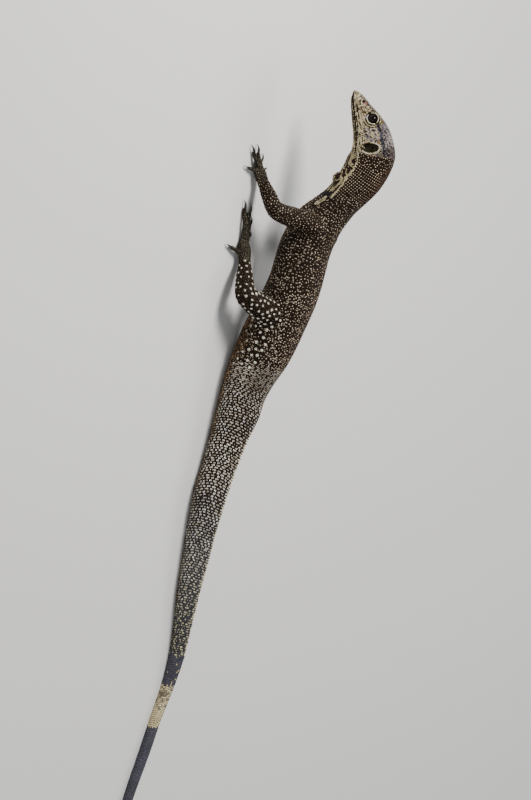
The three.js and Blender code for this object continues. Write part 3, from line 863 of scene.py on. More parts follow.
def paint(chosen, tones, size=None, across=None, under=None):
    """The chosen scales take their own of these tones, with a size of mark, a stretch across, and a ground"""
    tone[chosen] = np.broadcast_to(tones, tone.shape)[chosen]
    if size is not None:
        mark[chosen] = size
    if across is not None:
        stretch[chosen] = across
    if under is not None:
        ground[chosen] = np.broadcast_to(under, tone.shape)[chosen]


FULL = 1.3  # the size of a mark that fills its scale


def cover(chosen, tones, under=None):
    """Marks that fill the chosen scales"""
    paint(chosen, tones, FULL, 1.0, under)


# %% Where each scale is
vent = spots / MM - SHIFT
x = vent[:, 0]
heads = head_places(spots)
side_heads = folded(heads)
draw, fine, broad = rng.random(len(spots)), wobble(3.0, 1), wobble(16, 2)
on_head_now, on_neck, on_torso = (spot_stems == stem for stem in ("head", "neck", "torso"))
on_tail = np.char.startswith(spot_stems.astype(str), "tail")
LIMBS = (("upper_arm", "forearm"), ("thigh", "shin"), ("hand", "foot"))
on_arm, on_leg, on_toes = (np.isin(spot_stems, pair) for pair in LIMBS)
line_near = np.searchsorted(-line_x, -x).clip(0, len(line_x) - 1)
from_middle = spots - line[line_near]
low = -(from_middle * line_top[line_near]).sum(1) / np.maximum(np.linalg.norm(from_middle, axis=1), 1e-9)
belly_from = np.interp(x, [-160, -60, -20, 20, 60, 110], [0.80, 0.66, 0.50, 0.32, 0.40, 0.62])
belly = steps(low + 0.12 * broad, belly_from, belly_from + 0.25) * (on_neck | on_torso | on_tail)
print("scales on the head:", int(on_head_now.sum()), "and on the tail:", int(on_tail.sum()))

# %% The ground and the marks of neck, trunk and limbs
ground = drawn("170e07", "26180d")
tone = ground * 1.3
mark = np.full(len(spots), 0.9)
stretch, lengthen, tall = np.ones((3, len(spots)))
pale = np.zeros(len(spots), bool)
ringed = rows >= 0
over_back = steps(-low, 0.72, 0.97)

upper_neck = on_neck & (x > 224 + 6 * broad)
in_order = ringed & upper_neck & (rows % 2 == 0) & (columns % 2 == 0) & (draw > 0.05)
pale |= apart_from(in_order, 1.9 * MM)
pale |= apart_from(upper_neck & ~beside_chosen(pale, 6, 6) & (draw > 0.3), 2.4 * MM)
on_trunk = on_torso | (on_neck & ~upper_neck)
spacing = np.interp(x, [60, 90, 120, 160, 190, 205, 225], [2.35, 2.45, 2.8, 2.8, 2.45, 2.45, 2.6])
wander = apart_from(on_trunk & (draw > 0.04), (spacing + 0.5 * fine) * MM)
partners = beside_chosen(wander & (rng.random(len(spots)) < 0.36), 1, 1) & on_trunk
pale |= wander | partners | apart_from(on_arm, (2.7 + 0.2 * fine) * MM)
bright = rng.random(len(spots)) ** 1.4
russet = over_back * steps(x, 205, 235)
tone_neck = mix(between("9c8a76", "ecd9b8", bright), drawn("b8774a", "8f5a38"), russet)
tone_trunk = mix(between("786c5f", "cdbfa9", bright), drawn("a58a6c", "7c6450"), over_back * 0.5)
paint(pale & upper_neck, tone_neck, 1.02, 0.85)
paint(pale & on_trunk, tone_trunk)
paint(pale & on_arm, between("998b74", "efe2c6", bright))
loose = pale & ~upper_neck
mark[loose], stretch[loose] = 0.78 + 0.45 * rng.random(loose.sum()), 0.6 + 0.4 * rng.random(loose.sum())
stretch[on_arm] = 1
paint(pale & on_neck & (over_back > 0.5), tone_neck, 0.9)

paint(on_toes, drawn("2b251e", "4a4236"), 1.0, 1.0, colour("14100b"))
paint(apart_from(on_toes, 2.0 * MM), drawn("a3967e", "6e6454"), 1.1)
print("marks of neck, trunk and arms:", int(pale.sum()))

# %% [markdown]
# The large pale spots of the hind legs are rounder than any scale. So each is a place and a radius, and a
# point of a scale belongs to the spot when it lies within it. The scales round a spot stay dark.

# %% Spots on the hind legs and at the hips
HIP_SPACING, LEG_SPACING, SMALL_SPACING = 6.9, 5.9, 2.9  # millimetres
hips = (on_torso | on_tail) & (x < 66) & (x > 8) & (low > -0.4) & (low < 0.62)
large = apart_from(on_leg | hips, np.where(hips, HIP_SPACING, LEG_SPACING) * MM)
round_large = beside_chosen(large, 8, 8) & ~large & (on_leg | hips)
pale[round_large] = False
paint(round_large, ground * 1.2)
paint(pale & hips, drawn("b8aa94", "857765"))
small = apart_from(on_leg & ~beside_chosen(large, 9, 9), SMALL_SPACING * MM)
pale |= small
paint(small, drawn("988b70", "52493a"), 0.75)
spot_middle, spot_radius = np.full((len(spots), 3), np.inf), np.ones(len(spots))
for i in np.flatnonzero(large):
    radius = (1.15 + 0.4 * draw[i] + 0.25 * (spot_stems[i] != "shin") + 0.2 * hips[i]) * MM
    for _, j, _ in spot_tree.find_range(spots[i], radius + 1.2 * MM):
        spot_middle[j], spot_radius[j] = spots[i], radius * (1 + 0.15 * fine[j])
spotted = np.isfinite(spot_middle[:, 0]) & (on_leg | on_torso | on_tail)
spot_middle[~spotted] = np.inf
print("large spots:", int(large.sum()), "small spots:", int(small.sum()))

# %% [markdown]
# On the tail, pale scales stand side by side in short dashes that run round it, ring after ring. Walking
# along each ring and stopping now and then gives them. The chance to stop rises towards the slate end,
# where the dashes are few, and a low crest of pale scales runs along the top.

# %% Dashes across the tail
HIP_DASHES = 6, (0, 0.12, 0.26)  # the longest, and the chance to stop after none, one and more
TAIL_DASHES = 3, (0, 0.22, 0.75)
HIPS_TO = -16
slate = steps(-x + 14 * broad, 90, 280)
yellow = steps(-x, 180, 330)
tail_ground = mix(drawn("1a1008", "2e1f13"), drawn("3c3b3e", "515054"), slate)
paint(on_tail, 1.1 * tail_ground, under=tail_ground)
dashed = ringed & (on_tail | on_torso) & (x < 14 + 8 * fine) & ~round_large
order = np.flatnonzero(dashed)
order = order[np.lexsort((columns[order], rows[order]))]
dash, starts, stops = np.zeros((3, len(spots)), bool)
dash_bright, last_stops = np.zeros(len(spots)), np.array([-9.0])
clearing = 0.75 * steps(wobble(8, 9), -0.05, 0.45) * steps(-x, 235, 310)
for row in np.unique(rows[order]):  # a dash doesn't stop where one of the ring before it stopped
    own = order[rows[order] == row]
    rare = np.interp(-x[own[0]], [100, 150, 230, 300, 340], [0.0, 0.02, 0.10, 0.34, 0.66])
    longest, chances = HIP_DASHES if x[own[0]] > HIPS_TO else TAIL_DASHES
    run = 0
    for k, i in enumerate(own):
        beside_stop = np.abs(last_stops - turns[i]).min() < 3.2 / counts[i]
        chance = 0.06 if beside_stop else chances[min(run, 2)]
        if run >= longest or rng.random() < max(chance, rare, clearing[i]):
            dash_bright[own[k - run : k]] = rng.random() ** 0.7 * (1 if run < 3 else 0.6)
            run = 0
        else:
            dash[i] = True
            run += 1
    stops[own] = ~dash[np.roll(own, -1)]
    starts[own] = ~dash[np.roll(own, 1)]
    last_stops = np.append(turns[own[~dash[own]]], -9.0)
dash_bright *= 0.7 + 0.3 * bell(low - 0.1, 0.45)
cool, warm = between("b8ab97", "fffcf4", dash_bright), between("a8a07e", "fff2c4", dash_bright)
tail_mark = mix(cool, warm, yellow)
tail_mark = mix(tail_mark, drawn("a89b8a", "7f7365"), 0.5 * steps(x, -30, -12))
tail_mark *= 1 - 0.38 * (steps(-low, 0.15, 0.75) * steps(x, -95, -35))[:, None]
pale[dashed] = False
pale |= dash
paint(dashed & ~dash, 1.15 * ground)
paint(dash, tail_mark, (0.88 + 0.14 * dash_bright - 0.08 * steps(x, -34, -10))[dash], 0.3)
pale |= spotted
paint(spotted, drawn("fffdf0", "f6ecd0"))
starts[spotted] = stops[spotted] = False
crest = on_tail & ((columns == 0) | (columns == counts - 1)) & (x < -62) & (x > -340 + 20 * broad)
paint(crest, drawn("fff6dc", "e6d9b6"), 1.6, 0.3, drawn("c9bb97", "a89a78"))
lengthen[crest], tall[crest] = 0.3, 2.0
starts[crest] = stops[crest] = False
print("scales in dashes:", int(dash.sum()), "of", int(dashed.sum()))

# %% The slate end of the tail, with its band
BAND_FROM, BAND_TO, CLEAN_FROM = -371, -417, -398
leaning = x + 0.45 * (vent[:, 1] + 30)
band = on_tail & (leaning < BAND_FROM) & (leaning > BAND_TO)
end = on_tail & ~band & (x < -335)
paint(end, drawn("5c5a64", "4a4953"), FULL, 0.6, drawn("36353c", "3e3d44"))
starts[end | band] = stops[end | band] = False
paint(end & (draw < 0.07) & (x > -380), drawn("c5b98c", "9c926c"))
smudged = in_three(fine + 0.5 * (draw - 0.5), -0.35, 0.2, drawn("6f6656", "857a66"),
                   drawn("c9bb97", "a89c80"), drawn("f0e2b6", "d6c798"))
paint(band, smudged, FULL, 0.6, drawn("6d6453", "57503f"))
paint(band & (leaning < CLEAN_FROM), drawn("f0e2b4", "d0c193"))
print("scales in the band:", int(band.sum()), "and in the slate end:", int(end.sum()))

# %% The paler underside
brown_side = steps(x, -110, -15)
belly_mark = mix(drawn("a3937a", "7d7060"), drawn("a5855f", "765a40"), brown_side)
belly_ground = drawn("3c2a1c", "2b1d13")
marked = belly * (x > -330)
tone = mix(tone, mix(belly_ground * 1.7, belly_mark, pale * 0.9 + 0.1), 0.85 * marked)
ground = mix(ground, belly_ground, marked)
print("scales of the underside:", int((marked > 0.5).sum()))

# %% [markdown]
# The throat is pale, streaked along the neck, with dark blotches that have a pale rim, and a fold of skin
# bounds it like a cream cord. Lines and balls in the space round the neck choose the scales of each.

# %% The throat, its blotches and the pale fold that bounds it
fold = np.array(NECK_FOLDS[0], float)
under_fold = np.interp(x, fold[::-1, 0], fold[::-1, 2]) - vent[:, 2]
left_vent = vent.copy()
left_vent[:, 1] = neck_middle(x) + np.abs(vent[:, 1] - neck_middle(x))
throat = (on_neck | on_head_now) & (x > 220) & (under_fold > 0.6 - 0.4 * broad)
throat &= (side_heads[:, 0] > 62) & (above_mouth(heads) < -3)
dark_brown = drawn("1f150e", "35261a")
along_neck = streaky(x, under_fold, 12, 2.0, 6) + 0.2 * (draw - 0.5)
throat_tone = in_three(along_neck, -0.03, 0.25, dark_brown, drawn("8a7a5c", "6a5a42"),
                       drawn("cdbf99", "a3956f"))
cover(throat, throat_tone, 0.4 * throat_tone)
BLOTCHES = [([265.7, 9.3, 93.7], 4.2), ([256.3, 8.4, 88], 4.4), ([249.6, 6.9, 82.5], 3.9),
            ([247.5, 4.5, 75], 4.6), ([246, -2, 68], 4.8), ([262, -1, 78], 4.0), ([233, -3, 64], 4.0)]
for at, radius in BLOTCHES:
    away = np.linalg.norm(left_vent - at, axis=1) / (1.12 * radius * (1 + 0.45 * fine))
    paint(throat & (away < 1.28), drawn("d5c69e", "b5a57e"), under=drawn("6f6048", "5a4c38"))
    paint(throat & (away < 1), drawn("34201a", "24160f"), under=colour("170e0a"))
cover(throat & (x < 227 + 1.5 * fine) & (under_fold > 3), drawn("2c282a", "1a171a"), colour("121012"))
folded_neck = (on_neck | on_head_now) & (side_heads[:, 0] > 64) & (from_line(left_vent, NECK_FOLDS[0]) < 0.85)
cover(folded_neck, drawn("eadcb6", "c4b48e"), drawn("7a6a50", "5c4e3a"))
BASE_FOLD = [[219, 9.6, 69.5], [214.8, 9.4, 66.5], [209.9, 9.7, 60.2]]
from_fold, from_end = from_line(left_vent, BASE_FOLD), from_line(left_vent, BASE_FOLD[1:])
cover(on_neck & (from_fold < 2.4), drawn("e6d8b4", "a89a7c"), drawn("6a5c46", "4c4032"))
cover(on_neck & (from_end < 0.8), dark_brown, dark_brown)
cover(on_neck & (np.abs(from_fold - 3.3) < 1.0), dark_brown, dark_brown * 0.6)
print("scales of the throat:", int(throat.sum()))

# %% [markdown]
# On the head no two places are alike: a flecked snout, a cheek with streaks along the mouth, a lavender
# temple, a slate stripe behind the eye and a grey crown. Each region has a tone made from noise, and soft
# masks over back, left and up lay the regions over each other. A few marks are set one by one.

# %% Tones of the head
back_at, left_at, up_at = side_heads.T
over_mouth = above_mouth(heads)
flecks, patches = wobble(1.5, 3) + 0.5 * (draw - 0.5), wobble(2.1, 4) + 0.4 * (draw - 0.5)
along_cheek = streaky(back_at, over_mouth, 13, 1.7, 4) + 0.14 * (draw - 0.5)
cream, brown, grey = drawn("efe0b8", "c4b188"), drawn("463824", "645134"), drawn("a3967a", "7c6f57")
lavender, purple = drawn("a0969a", "797076"), drawn("8a8086", "6c6268")
nearly_black, fallow = drawn("17120e", "2a221a"), drawn("c9ba95", "9c8d6c")
paler = 0.3 * steps(27 - back_at, 0, 8)
snout_tone = in_three(flecks, -0.5, -0.04, brown, grey, cream)
cheek_tone = in_three(along_cheek, -0.20 - paler, -paler, dark_brown, brown, cream)
jaw_tone = in_three(along_cheek, 0.02 - 0.5 * paler, 0.25 - 0.5 * paler, dark_brown * 1.3, brown, fallow)
temple_tone = in_three(patches, -0.48, 0.12, dark_brown, lavender, cream)
crown_middle = mix(drawn("85745a", "6a5c46"), purple, steps(back_at, 38, 48))
crown_tone = in_three(flecks, -0.34, 0.26, drawn("2b2428", "423a3c"), crown_middle, drawn("c2b6a6", "a3968a"))
slate_blue = in_three(patches, -0.3, 0.5, drawn("1f1f26", "2c2c34"), drawn("474853", "5b5a64"),
                      drawn("77737a", "656068"))

# %% The head: snout, cheek, jaw, temple and crown
STRIPE_BACK, STRIPE_UP = [42, 47, 53.5, 58, 67, 73, 80, 90], [14.0, 15.0, 16.6, 15.6, 14.4, 14.4, 13, 10]
CHEEK_BACK, CHEEK_TOP = [4, 10, 20, 30, 42, 55, 62, 68], [2, 3.6, 5.2, 7, 9, 9.5, 8, 5]
from_stripe = up_at - np.interp(back_at, STRIPE_BACK, STRIPE_UP)
cheek_top = np.interp(back_at, CHEEK_BACK, CHEEK_TOP)
face = mix(snout_tone, cheek_tone, steps(cheek_top - over_mouth, -0.6, 0.6))
face = mix(face, temple_tone, steps(back_at, 43, 46) * steps(over_mouth - cheek_top, -0.6, 0.6))
face = mix(face, jaw_tone, steps(-over_mouth, 0.3, 1.2))
face = mix(face, drawn("6a5f4a", "463d31"), 0.55 * steps(6.5 - back_at, 0, 5))
crown = steps(7.5 - left_at + 0.1 * up_at, -1, 2) * (up_at > 4)
crown = np.maximum(steps(from_stripe, 0.8, 2.2) * steps(back_at, 42, 46), crown)
crown = np.maximum(crown, steps(up_at, 15.5, 18) * (back_at > 26))
face = mix(face, crown_tone, crown)
beside_stripe = (left_at > 8) & (back_at > 41) & (back_at < 95)
off_stripe = np.abs(from_stripe)
face = mix(face, slate_blue, beside_stripe * steps(2.6 - off_stripe, 0, 1.2) * steps(back_at, 49, 54))
face = mix(face, nearly_black, beside_stripe * steps(1.5 - off_stripe, 0, 0.7) * steps(56 - back_at, 0, 5))
SINGLE_MARKS = [  # back, up and radius in millimetres, and two colours
    (64.6, 10.6, 2.2, "a2855f", "7a6246"), (62.6, 8.4, 1.0, "3a2a1c", "2a1e14"),
    (43.5, 19.5, 2.4, "7f7140", "5f5634"), (49.7, 0.1, 1.0, "1c1613", "2a211c"),
    (57, 4, 1.1, "1c1613", "2a211c"), (58.5, -4, 1.2, "2a2018", "3a2e22"),
    (55.3, 0.6, 0.9, "3a3230", "2a2422"), (47, 4, 0.9, "3a3230", "2a2422"),
    (33.6, 5.6, 1.9, "d2cfcc", "b5b0ae"), (28.6, 8.6, 1.3, "2a2118", "1c1610"),
    (31.0, 9.6, 1.2, "1c1610", "120e0a"), (22, -1, 1.1, "4a3b28", "35291c"),
    (17, 1.5, 1.0, "4a3b28", "35291c"), (26, 3.5, 1.2, "77684e", "5a4c36"),
]


def near_place(back_mid, up_mid, radius):
    return np.hypot(back_at - back_mid, up_at - up_mid) < radius


for back_mid, up_mid, radius, one, other in SINGLE_MARKS:
    inside = near_place(back_mid, up_mid, radius) & (left_at > 5)
    face[inside] = drawn(one, other)[inside]
chin = steps(-over_mouth, 4.5, 6.5)
bars = steps(np.sin(back_at / 1.55 + 0.8 * broad), 0.25, 0.7)
face = mix(face, mix(cream, dark_brown * 1.4, bars * (left_at > 3)), chin * (left_at < 8))
paint(on_head_now & ~throat, face, 1.25, 1.0, 0.36 * face)

nape = on_head_now & (back_at > 75) & (row_kinds == "none") & (up_at > -8)
paint(nape, 0.3 * face, 1.2, 1.0, 0.16 * face)
mottled = (up_at < 7) & (back_at < 86) & (fine < 0.15)
nape_tone = mix(drawn("d8c6a8", "a09080"), drawn("b39078", "8a7264"), steps(up_at, 10, 20))
paint(apart_from(nape & ~mottled, 2.3 * MM), nape_tone, 1.0)
print("scales of the nape:", int(nape.sum()), "single marks:", len(SINGLE_MARKS))

# %% The rows of the head
LIGHT, DARK = drawn("f0e4c4", "cdbd98"), drawn("1f170f", "35291c")
every = np.zeros(len(spots), int)
every[: len(none)] = row_scales["counts"]
in_front, behind_below = (back_at < 33) & (up_at > 8.5) & (up_at < 12.2), (back_at > 36) & (up_at < 13)
# painted shade: the lower lip is near black at the front, for the shade under the jaw, and brown, its own
# colour, further back
shaded_lower_lip = mix(DARK, brown, steps(back_at, 22, 36))
ROW_LOOKS = {  # tones, size of mark, stretch across the row, stretch along it
    "upper_lip": (either(every % 3 == 2, mix(brown, LIGHT, paler), LIGHT), 1.15, 0.9, 0.6),
    "upper_lip_2": (in_three(along_cheek, -0.3 - paler, -paler, mix(DARK, LIGHT, paler), brown, LIGHT),
                    1.15, 0.9, 0.5),
    "lower_lip": (either((every % 3 == 1) & (back_at > 20), drawn("c9ba95", "8f8162"), shaded_lower_lip),
                  1.1, 0.9, 0.7),
    "lower_lip_2": (either(every % 4 == 2, drawn("a89a76", "6f6246"), brown), 1.1, 0.9, 0.7),
    "streak": (LIGHT, 0.95, 1.0, 0.3),
    "ear_rim": (either((up_at > 1) | (back_at > 69), LIGHT, brown), 1.1, 0.9, 0.4),
    "ear_rim_2": (either(back_at > 70, mix(LIGHT, brown, 0.3 + 0.8 * draw), face), 1.1, 0.9, 0.6),
    "nostril_rim": (either(up_at < 7, LIGHT, brown), 1.1, 1.0, 0.6),
    "lid": (either(in_front, DARK, LIGHT), 0.85, 1.0, 0.2),
    "lid_2": (mix(DARK, drawn("6a5f3c", "4c4430"), 0.6 * behind_below), 1.2, 1.0, 0.3),
    "lid_3": (either(in_front | (back_at < 31), snout_tone, drawn("dccfa8", "b5a682")), 0.8, 1.0, 0.2),
    "lid_4": (either(behind_below, mix(DARK, brown, draw), face), 1.2, 1.0, 0.4),
}
for kind, (tones, size, across, lengthwise) in ROW_LOOKS.items():
    own = row_kinds == kind
    paint(own, tones, size, across, 0.2 * tones)
    lengthen[own] = lengthwise
lids = np.char.startswith(row_kinds, "lid")
cover(lids & (back_at > 43) & (off_stripe < 1.8), nearly_black)
paint(lids & near_place(33.6, 5.6, 2.2), drawn("d2cfcc", "b5b0ae"), 1.2, 1.0)
cover(lids & near_place(30.2, 9.4, 1.9), drawn("1c1610", "120e0a"))
tone *= (1 + 0.14 * broad)[:, None]
bare = row_kinds == "mouth"
print("pale scales:", int(pale.sum()), "of", len(spots))

# %% [markdown]
# ## Building the scales
# One scale is modelled once: a disc in two rings and a top. Every other is a copy of it, stretched to
# its own outline and set on its place. They are joined in a few large pieces, and each piece holds
# scales from all over the body, so that the scales keep clear of each other in the map of each piece.

# %% An unwrap of the skin's own shape, for the places of the scales in their maps
pick(skin)
bpy.ops.object.duplicate()
wrap = bpy.context.active_object
wrap.name = "wrap"
apply_modifier(wrap, "REMESH", mode="VOXEL", voxel_size=3 * MM)
pick(wrap)
bpy.ops.object.mode_set(mode="EDIT")
bpy.ops.mesh.select_all(action="SELECT")
bpy.ops.uv.smart_project(angle_limit=math.radians(66), island_margin=0.004)
bpy.ops.object.mode_set(mode="OBJECT")
wrap_points, wrap_corners = points_of(wrap), triangles_of(wrap.data)
wrap_loops = numbers(wrap.data.loop_triangles, "loops", 3, np.int32)
wrap_places = numbers(wrap.data.uv_layers.active.data, "uv", 2)
wrap_tree = BVHTree.FromPolygons(wrap_points.tolist(), wrap_corners.tolist())
found = [wrap_tree.find_nearest(p) for p in spots]
shares = shares_in(wrap_points[wrap_corners[[f[2] for f in found]]], np.array([f[0] for f in found]))
roots = (wrap_places[wrap_loops[[f[2] for f in found]]] * shares[:, :, None]).sum(1)
bpy.data.objects.remove(wrap)
print("unwrap:", len(wrap_corners), "triangles, from", roots.min(0).round(3), "to", roots.max(0).round(3))

# %% One scale, by hand
SHOULDER = 0.83
bpy.ops.object.select_all(action="DESELECT")
bpy.ops.mesh.primitive_circle_add(vertices=SIDES, radius=1, fill_type="TRIFAN", location=(0, 0, 0),
                                  rotation=(0, 0, math.pi / SIDES))
model = bpy.context.active_object
model.name = "model_scale"
bpy.ops.object.transform_apply(rotation=True)
bpy.ops.object.mode_set(mode="EDIT")
bpy.ops.mesh.select_all(action="SELECT")
bpy.ops.transform.resize(value=(SHOULDER, SHOULDER, 1))
bpy.ops.transform.translate(value=(0, 0, 0.8))
bpy.ops.mesh.select_all(action="DESELECT")
work = bmesh.from_edit_mesh(model.data)
for edge in work.edges:
    edge.select = edge.is_boundary
bmesh.update_edit_mesh(model.data)
bpy.ops.mesh.extrude_edges_move(TRANSFORM_OT_translate={"value": (0, 0, -1.6)})
bpy.ops.transform.resize(value=(1 / SHOULDER, 1 / SHOULDER, 1))
bpy.ops.object.mode_set(mode="OBJECT")
apply_modifier(model, "TRIANGULATE")
shape, shape_faces = points_of(model), numbers(model.data.polygons, "vertices", 3, np.int32)
bpy.data.objects.remove(model)
shape_out = np.linalg.norm(shape[:, :2], axis=1)  # none at the top, one at the rim
shape[shape_out < 0.1, 2] = 1.0
shape_side = np.round((np.arctan2(shape[:, 1], shape[:, 0]) % (2 * math.pi)) / (2 * math.pi) * SIDES - 0.5)
shape_side = shape_side.astype(int) % SIDES
print("model scale:", len(shape), "points,", len(shape_faces), "triangles")

# %% Copies of it, in pieces
RISE, HIGHEST = 0.17, 0.55 * MM  # of the width, and at most
SINK = 0.25 * MM
PATCH = 0.0015  # half the width of a scale's patch in its map
DASH_END = 1.15  # how much sooner a mark stops at the end of its dash
MARK_EDGE = 0.70  # the material fades from mark to ground about this value
MOST = 190000  # triangles in one piece
narrow = np.minimum(np.abs(corner_side).max(1), np.abs(corner_back).max(1))
heights = np.minimum(RISE * tall * 2 * narrow, HIGHEST)


def attribute(mesh, name, kind, values):
    field = {"FLOAT": "value", "FLOAT_COLOR": "color"}[kind]
    mesh.attributes.new(name, kind, "POINT").data.foreach_set(field, np.asarray(values, np.float32).ravel())


def with_alpha(tints):
    return np.concatenate([tints, np.ones(tints.shape[:-1] + (1,))], -1)


def scale_piece(name, own):
    """The scales with these numbers as one piece, with their marks and their map"""
    along = (corner_back[own][:, shape_side] * shape_out)[:, :, None] * backward[own][:, None]
    aside = (corner_side[own][:, shape_side] * shape_out)[:, :, None] * sideways[own][:, None]
    rise = np.where(shape[:, 2] > 0, shape[:, 2] * heights[own][:, None], -SINK)
    at = (spots[own][:, None] + along + aside + rise[:, :, None] * normals[own][:, None]).reshape(-1, 3)
    at[:, 2] = np.maximum(at[:, 2], 0)
    triangles = (shape_faces[None] + len(shape) * np.arange(len(own))[:, None, None]).reshape(-1, 3)
    mesh = bpy.data.meshes.new(name)
    mesh.vertices.add(len(at))
    mesh.vertices.foreach_set("co", at.astype(np.float32).ravel())
    mesh.loops.add(triangles.size)
    mesh.loops.foreach_set("vertex_index", triangles.astype(np.int32).ravel())
    mesh.polygons.add(len(triangles))
    mesh.polygons.foreach_set("loop_start", np.arange(0, triangles.size, 3, dtype=np.int32))
    mesh.update(calc_edges=True)
    mesh.polygons.foreach_set("use_smooth", np.ones(len(triangles), bool))
    turn = direction[own][:, shape_side]
    at_end = np.where(np.sin(turn) > 0, starts[own][:, None], stops[own][:, None])
    aside_by = np.where(at_end, DASH_END, stretch[own][:, None])
    spread = np.hypot(lengthen[own][:, None] * np.cos(turn), aside_by * np.sin(turn))
    from_mark = shape_out * spread / mark[own][:, None]
    away = np.linalg.norm(at.reshape(len(own), -1, 3) - spot_middle[own][:, None], axis=2)
    from_mark = np.where(np.isfinite(away), MARK_EDGE * away / spot_radius[own][:, None], from_mark)
    for field, tints in (("tone", tone), ("ground", ground)):
        attribute(mesh, field, "FLOAT_COLOR", with_alpha(np.repeat(tints[own], len(shape), 0)))
    attribute(mesh, "from_mark", "FLOAT", from_mark)
    attribute(mesh, "from_top", "FLOAT", np.tile(shape_out, len(own)))
    flat = roots[own][:, None] + shape[:, :2] * PATCH
    uv = flat.reshape(-1, 2)[triangles.ravel()]
    mesh.uv_layers.new(name="OFBake").data.foreach_set("uv", uv.astype(np.float32).ravel())
    piece = bpy.data.objects.new(name, mesh)
    bpy.context.scene.collection.objects.link(piece)
    return piece


grown = np.flatnonzero(~bare)
pieces = math.ceil(len(grown) * len(shape_faces) / MOST)
coat = [scale_piece(f"scales_{k + 1}", grown[k::pieces]) for k in range(pieces)]
print("coat:", [(piece.name, len(piece.data.polygons)) for piece in coat])

# %% The skin carries the same markings, darkened as painted shade, as it shows only in the grooves
nearest = np.array([spot_tree.find(p)[1] for p in skin_points])
# painted shade: the skin lies down in the grooves, so the ground colour of its nearest scale is darkened to
# 0.55
skin_tone = 0.55 * ground[nearest]
skin_heads = head_places(skin_points)
skin_back, skin_left, skin_up = folded(skin_heads).T
on_face = (skin_back < 90) & (np.abs(skin_up) < 40)
in_ear, in_nostril = (on_face & (round_hole(skin_heads, *opening) < 1.0) & (skin_left > least)
                      for opening, least in zip(OPENINGS, (6, 2)))
deep = np.array([noise.noise(Vector(p) / (2.2 * MM)) for p in skin_points[in_ear]])
skin_tone[in_ear] = between("17150d", "4a4530", 0.35 + 0.9 * deep)
# painted shade: the front and lower part of each nostril is near black, for the shade in the opening, and the
# back and top are pink, its own colour
nostril_shade_to_pink = steps(skin_back - NOSTRIL_AT[0] + 0.5 * (skin_up - NOSTRIL_AT[2]), -1.8, 0.6)
skin_tone = either(in_nostril, between("1c110d", "9a7468", nostril_shade_to_pink), skin_tone)
# painted shade: the skin in the socket round each eyeball is near black
skin_tone[(from_eyeball(skin_heads) < EYE_DEPTH) & on_face] = colour("0b0908")
skin_tone[row_kinds[nearest] == "mouth"] = colour("110b08")
attribute(skin.data, "tone", "FLOAT_COLOR", with_alpha(skin_tone))
print("skin points in the ears:", int(in_ear.sum()), "and in the nostrils:", int(in_nostril.sum()))

# %% [markdown]
# ## Eyes and claws
# Each eye is a ball with a slight swelling over the iris. The claws are smooth copies of the solids,
# with their bases let into the toes.

# %% Eyes
PUPIL, IRIS = 0.30, 0.80  # radians from the axis
eyes = []
for side, hand in SIDE_HANDS:
    low_corner, high_corner = (np.array(corner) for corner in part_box(f"eye_{side}"))
    radius = (high_corner - low_corner).mean() / 2 + 0.12 * MM
    bpy.ops.object.select_all(action="DESELECT")
    bpy.ops.mesh.primitive_uv_sphere_add(segments=56, ring_count=36, radius=radius, location=(0, 0, 0))
    eye = bpy.context.active_object
    eye.name = eye.data.name = f"eyeball_{side}"
    bpy.ops.object.shade_smooth()
    facing = unit((EYE_FACING * [1, hand, 1]) @ HEAD_AXES)
    turn = Vector((0, 0, 1)).rotation_difference(Vector(facing)).to_matrix()
    ball = points_of(eye)
    off_axis = np.arccos(np.clip(ball[:, 2] / radius, -1, 1))
    ball *= (1 + 0.05 * bell(off_axis, 0.55))[:, None]
    set_points(eye, ball @ np.array(turn).T + (low_corner + high_corner) / 2)
    attribute(eye.data, "off_axis", "FLOAT", off_axis)
    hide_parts(f"eye_{side}")
    eyes.append(eye)
print("eyes:", [(eye.name, len(eye.data.polygons)) for eye in eyes])

# %% Claws
CLAWS = [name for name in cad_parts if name.startswith("claw_")]
ROOT_WITHIN, ROOTED_BY = 0.8 * MM, 1.3 * MM  # from the flesh, and how far into it the base is let
claws = copies_of(CLAWS, "claws")
points = points_of(claws)
centres = np.array([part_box(name) for name in CLAWS]).mean(1)
owner = np.array([int(np.argmin(np.abs(centres - p).max(1))) for p in points])
from_flesh = np.array([solids_tree.find_nearest(p)[3] for p in points])
axes = []
for k in range(len(CLAWS)):
    own = np.flatnonzero(owner == k)
    rooted = own[from_flesh[own] < ROOT_WITHIN]
    base, tip = points[rooted].mean(0), points[own[np.argmax(from_flesh[own])]]
    axes.append((base, tip - base))
    points[rooted] -= ROOTED_BY * unit(tip - base)
set_points(claws, points)
apply_modifier(claws, "SUBSURF", levels=2)
onto_floor(claws)


def off_claw(point, base, way):
    """How far a point is from a claw's axis, and much more where it is past the ends"""
    past = max(0, np.linalg.norm(point - base - way / 2) - 0.8 * np.linalg.norm(way))
    return np.linalg.norm(np.cross(point - base, unit(way))) + 4 * past


points = points_of(claws)
owner = [int(np.argmin([off_claw(p, base, way) for base, way in axes])) for p in points]
bases, ways = (np.array([axes[k][part] for k in owner]) for part in (0, 1))
attribute(claws.data, "along", "FLOAT", ((points - bases) * ways).sum(1) / (ways * ways).sum(1))
pick(claws)
bpy.ops.object.shade_smooth()
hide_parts(*CLAWS)
print("claws:", len(claws.data.polygons), "faces")

# %% [markdown]
# ## Finishes
# The hide takes its colours from the scales and adds grain, painted shade in the grooves and a dull horny
# gloss. The eye is wet and almost black. The claws are dark horn, worn paler towards the tip, with fine lines
# along them.

# %% Helpers for node trees
def put_in(tree, socket, given):
    """A value set in a socket, or an output led to it"""
    if isinstance(given, bpy.types.NodeSocket):
        tree.links.new(given, socket)
    else:
        socket.default_value = given


def add_node(tree, kind, **given):
    """A node with its settings made, and its inputs set or led from other nodes"""
    node = tree.nodes.new(kind)
    for name, value in given.items():
        if name in node.inputs:
            put_in(tree, node.inputs[name], value)
        else:
            setattr(node, name, value)
    return node


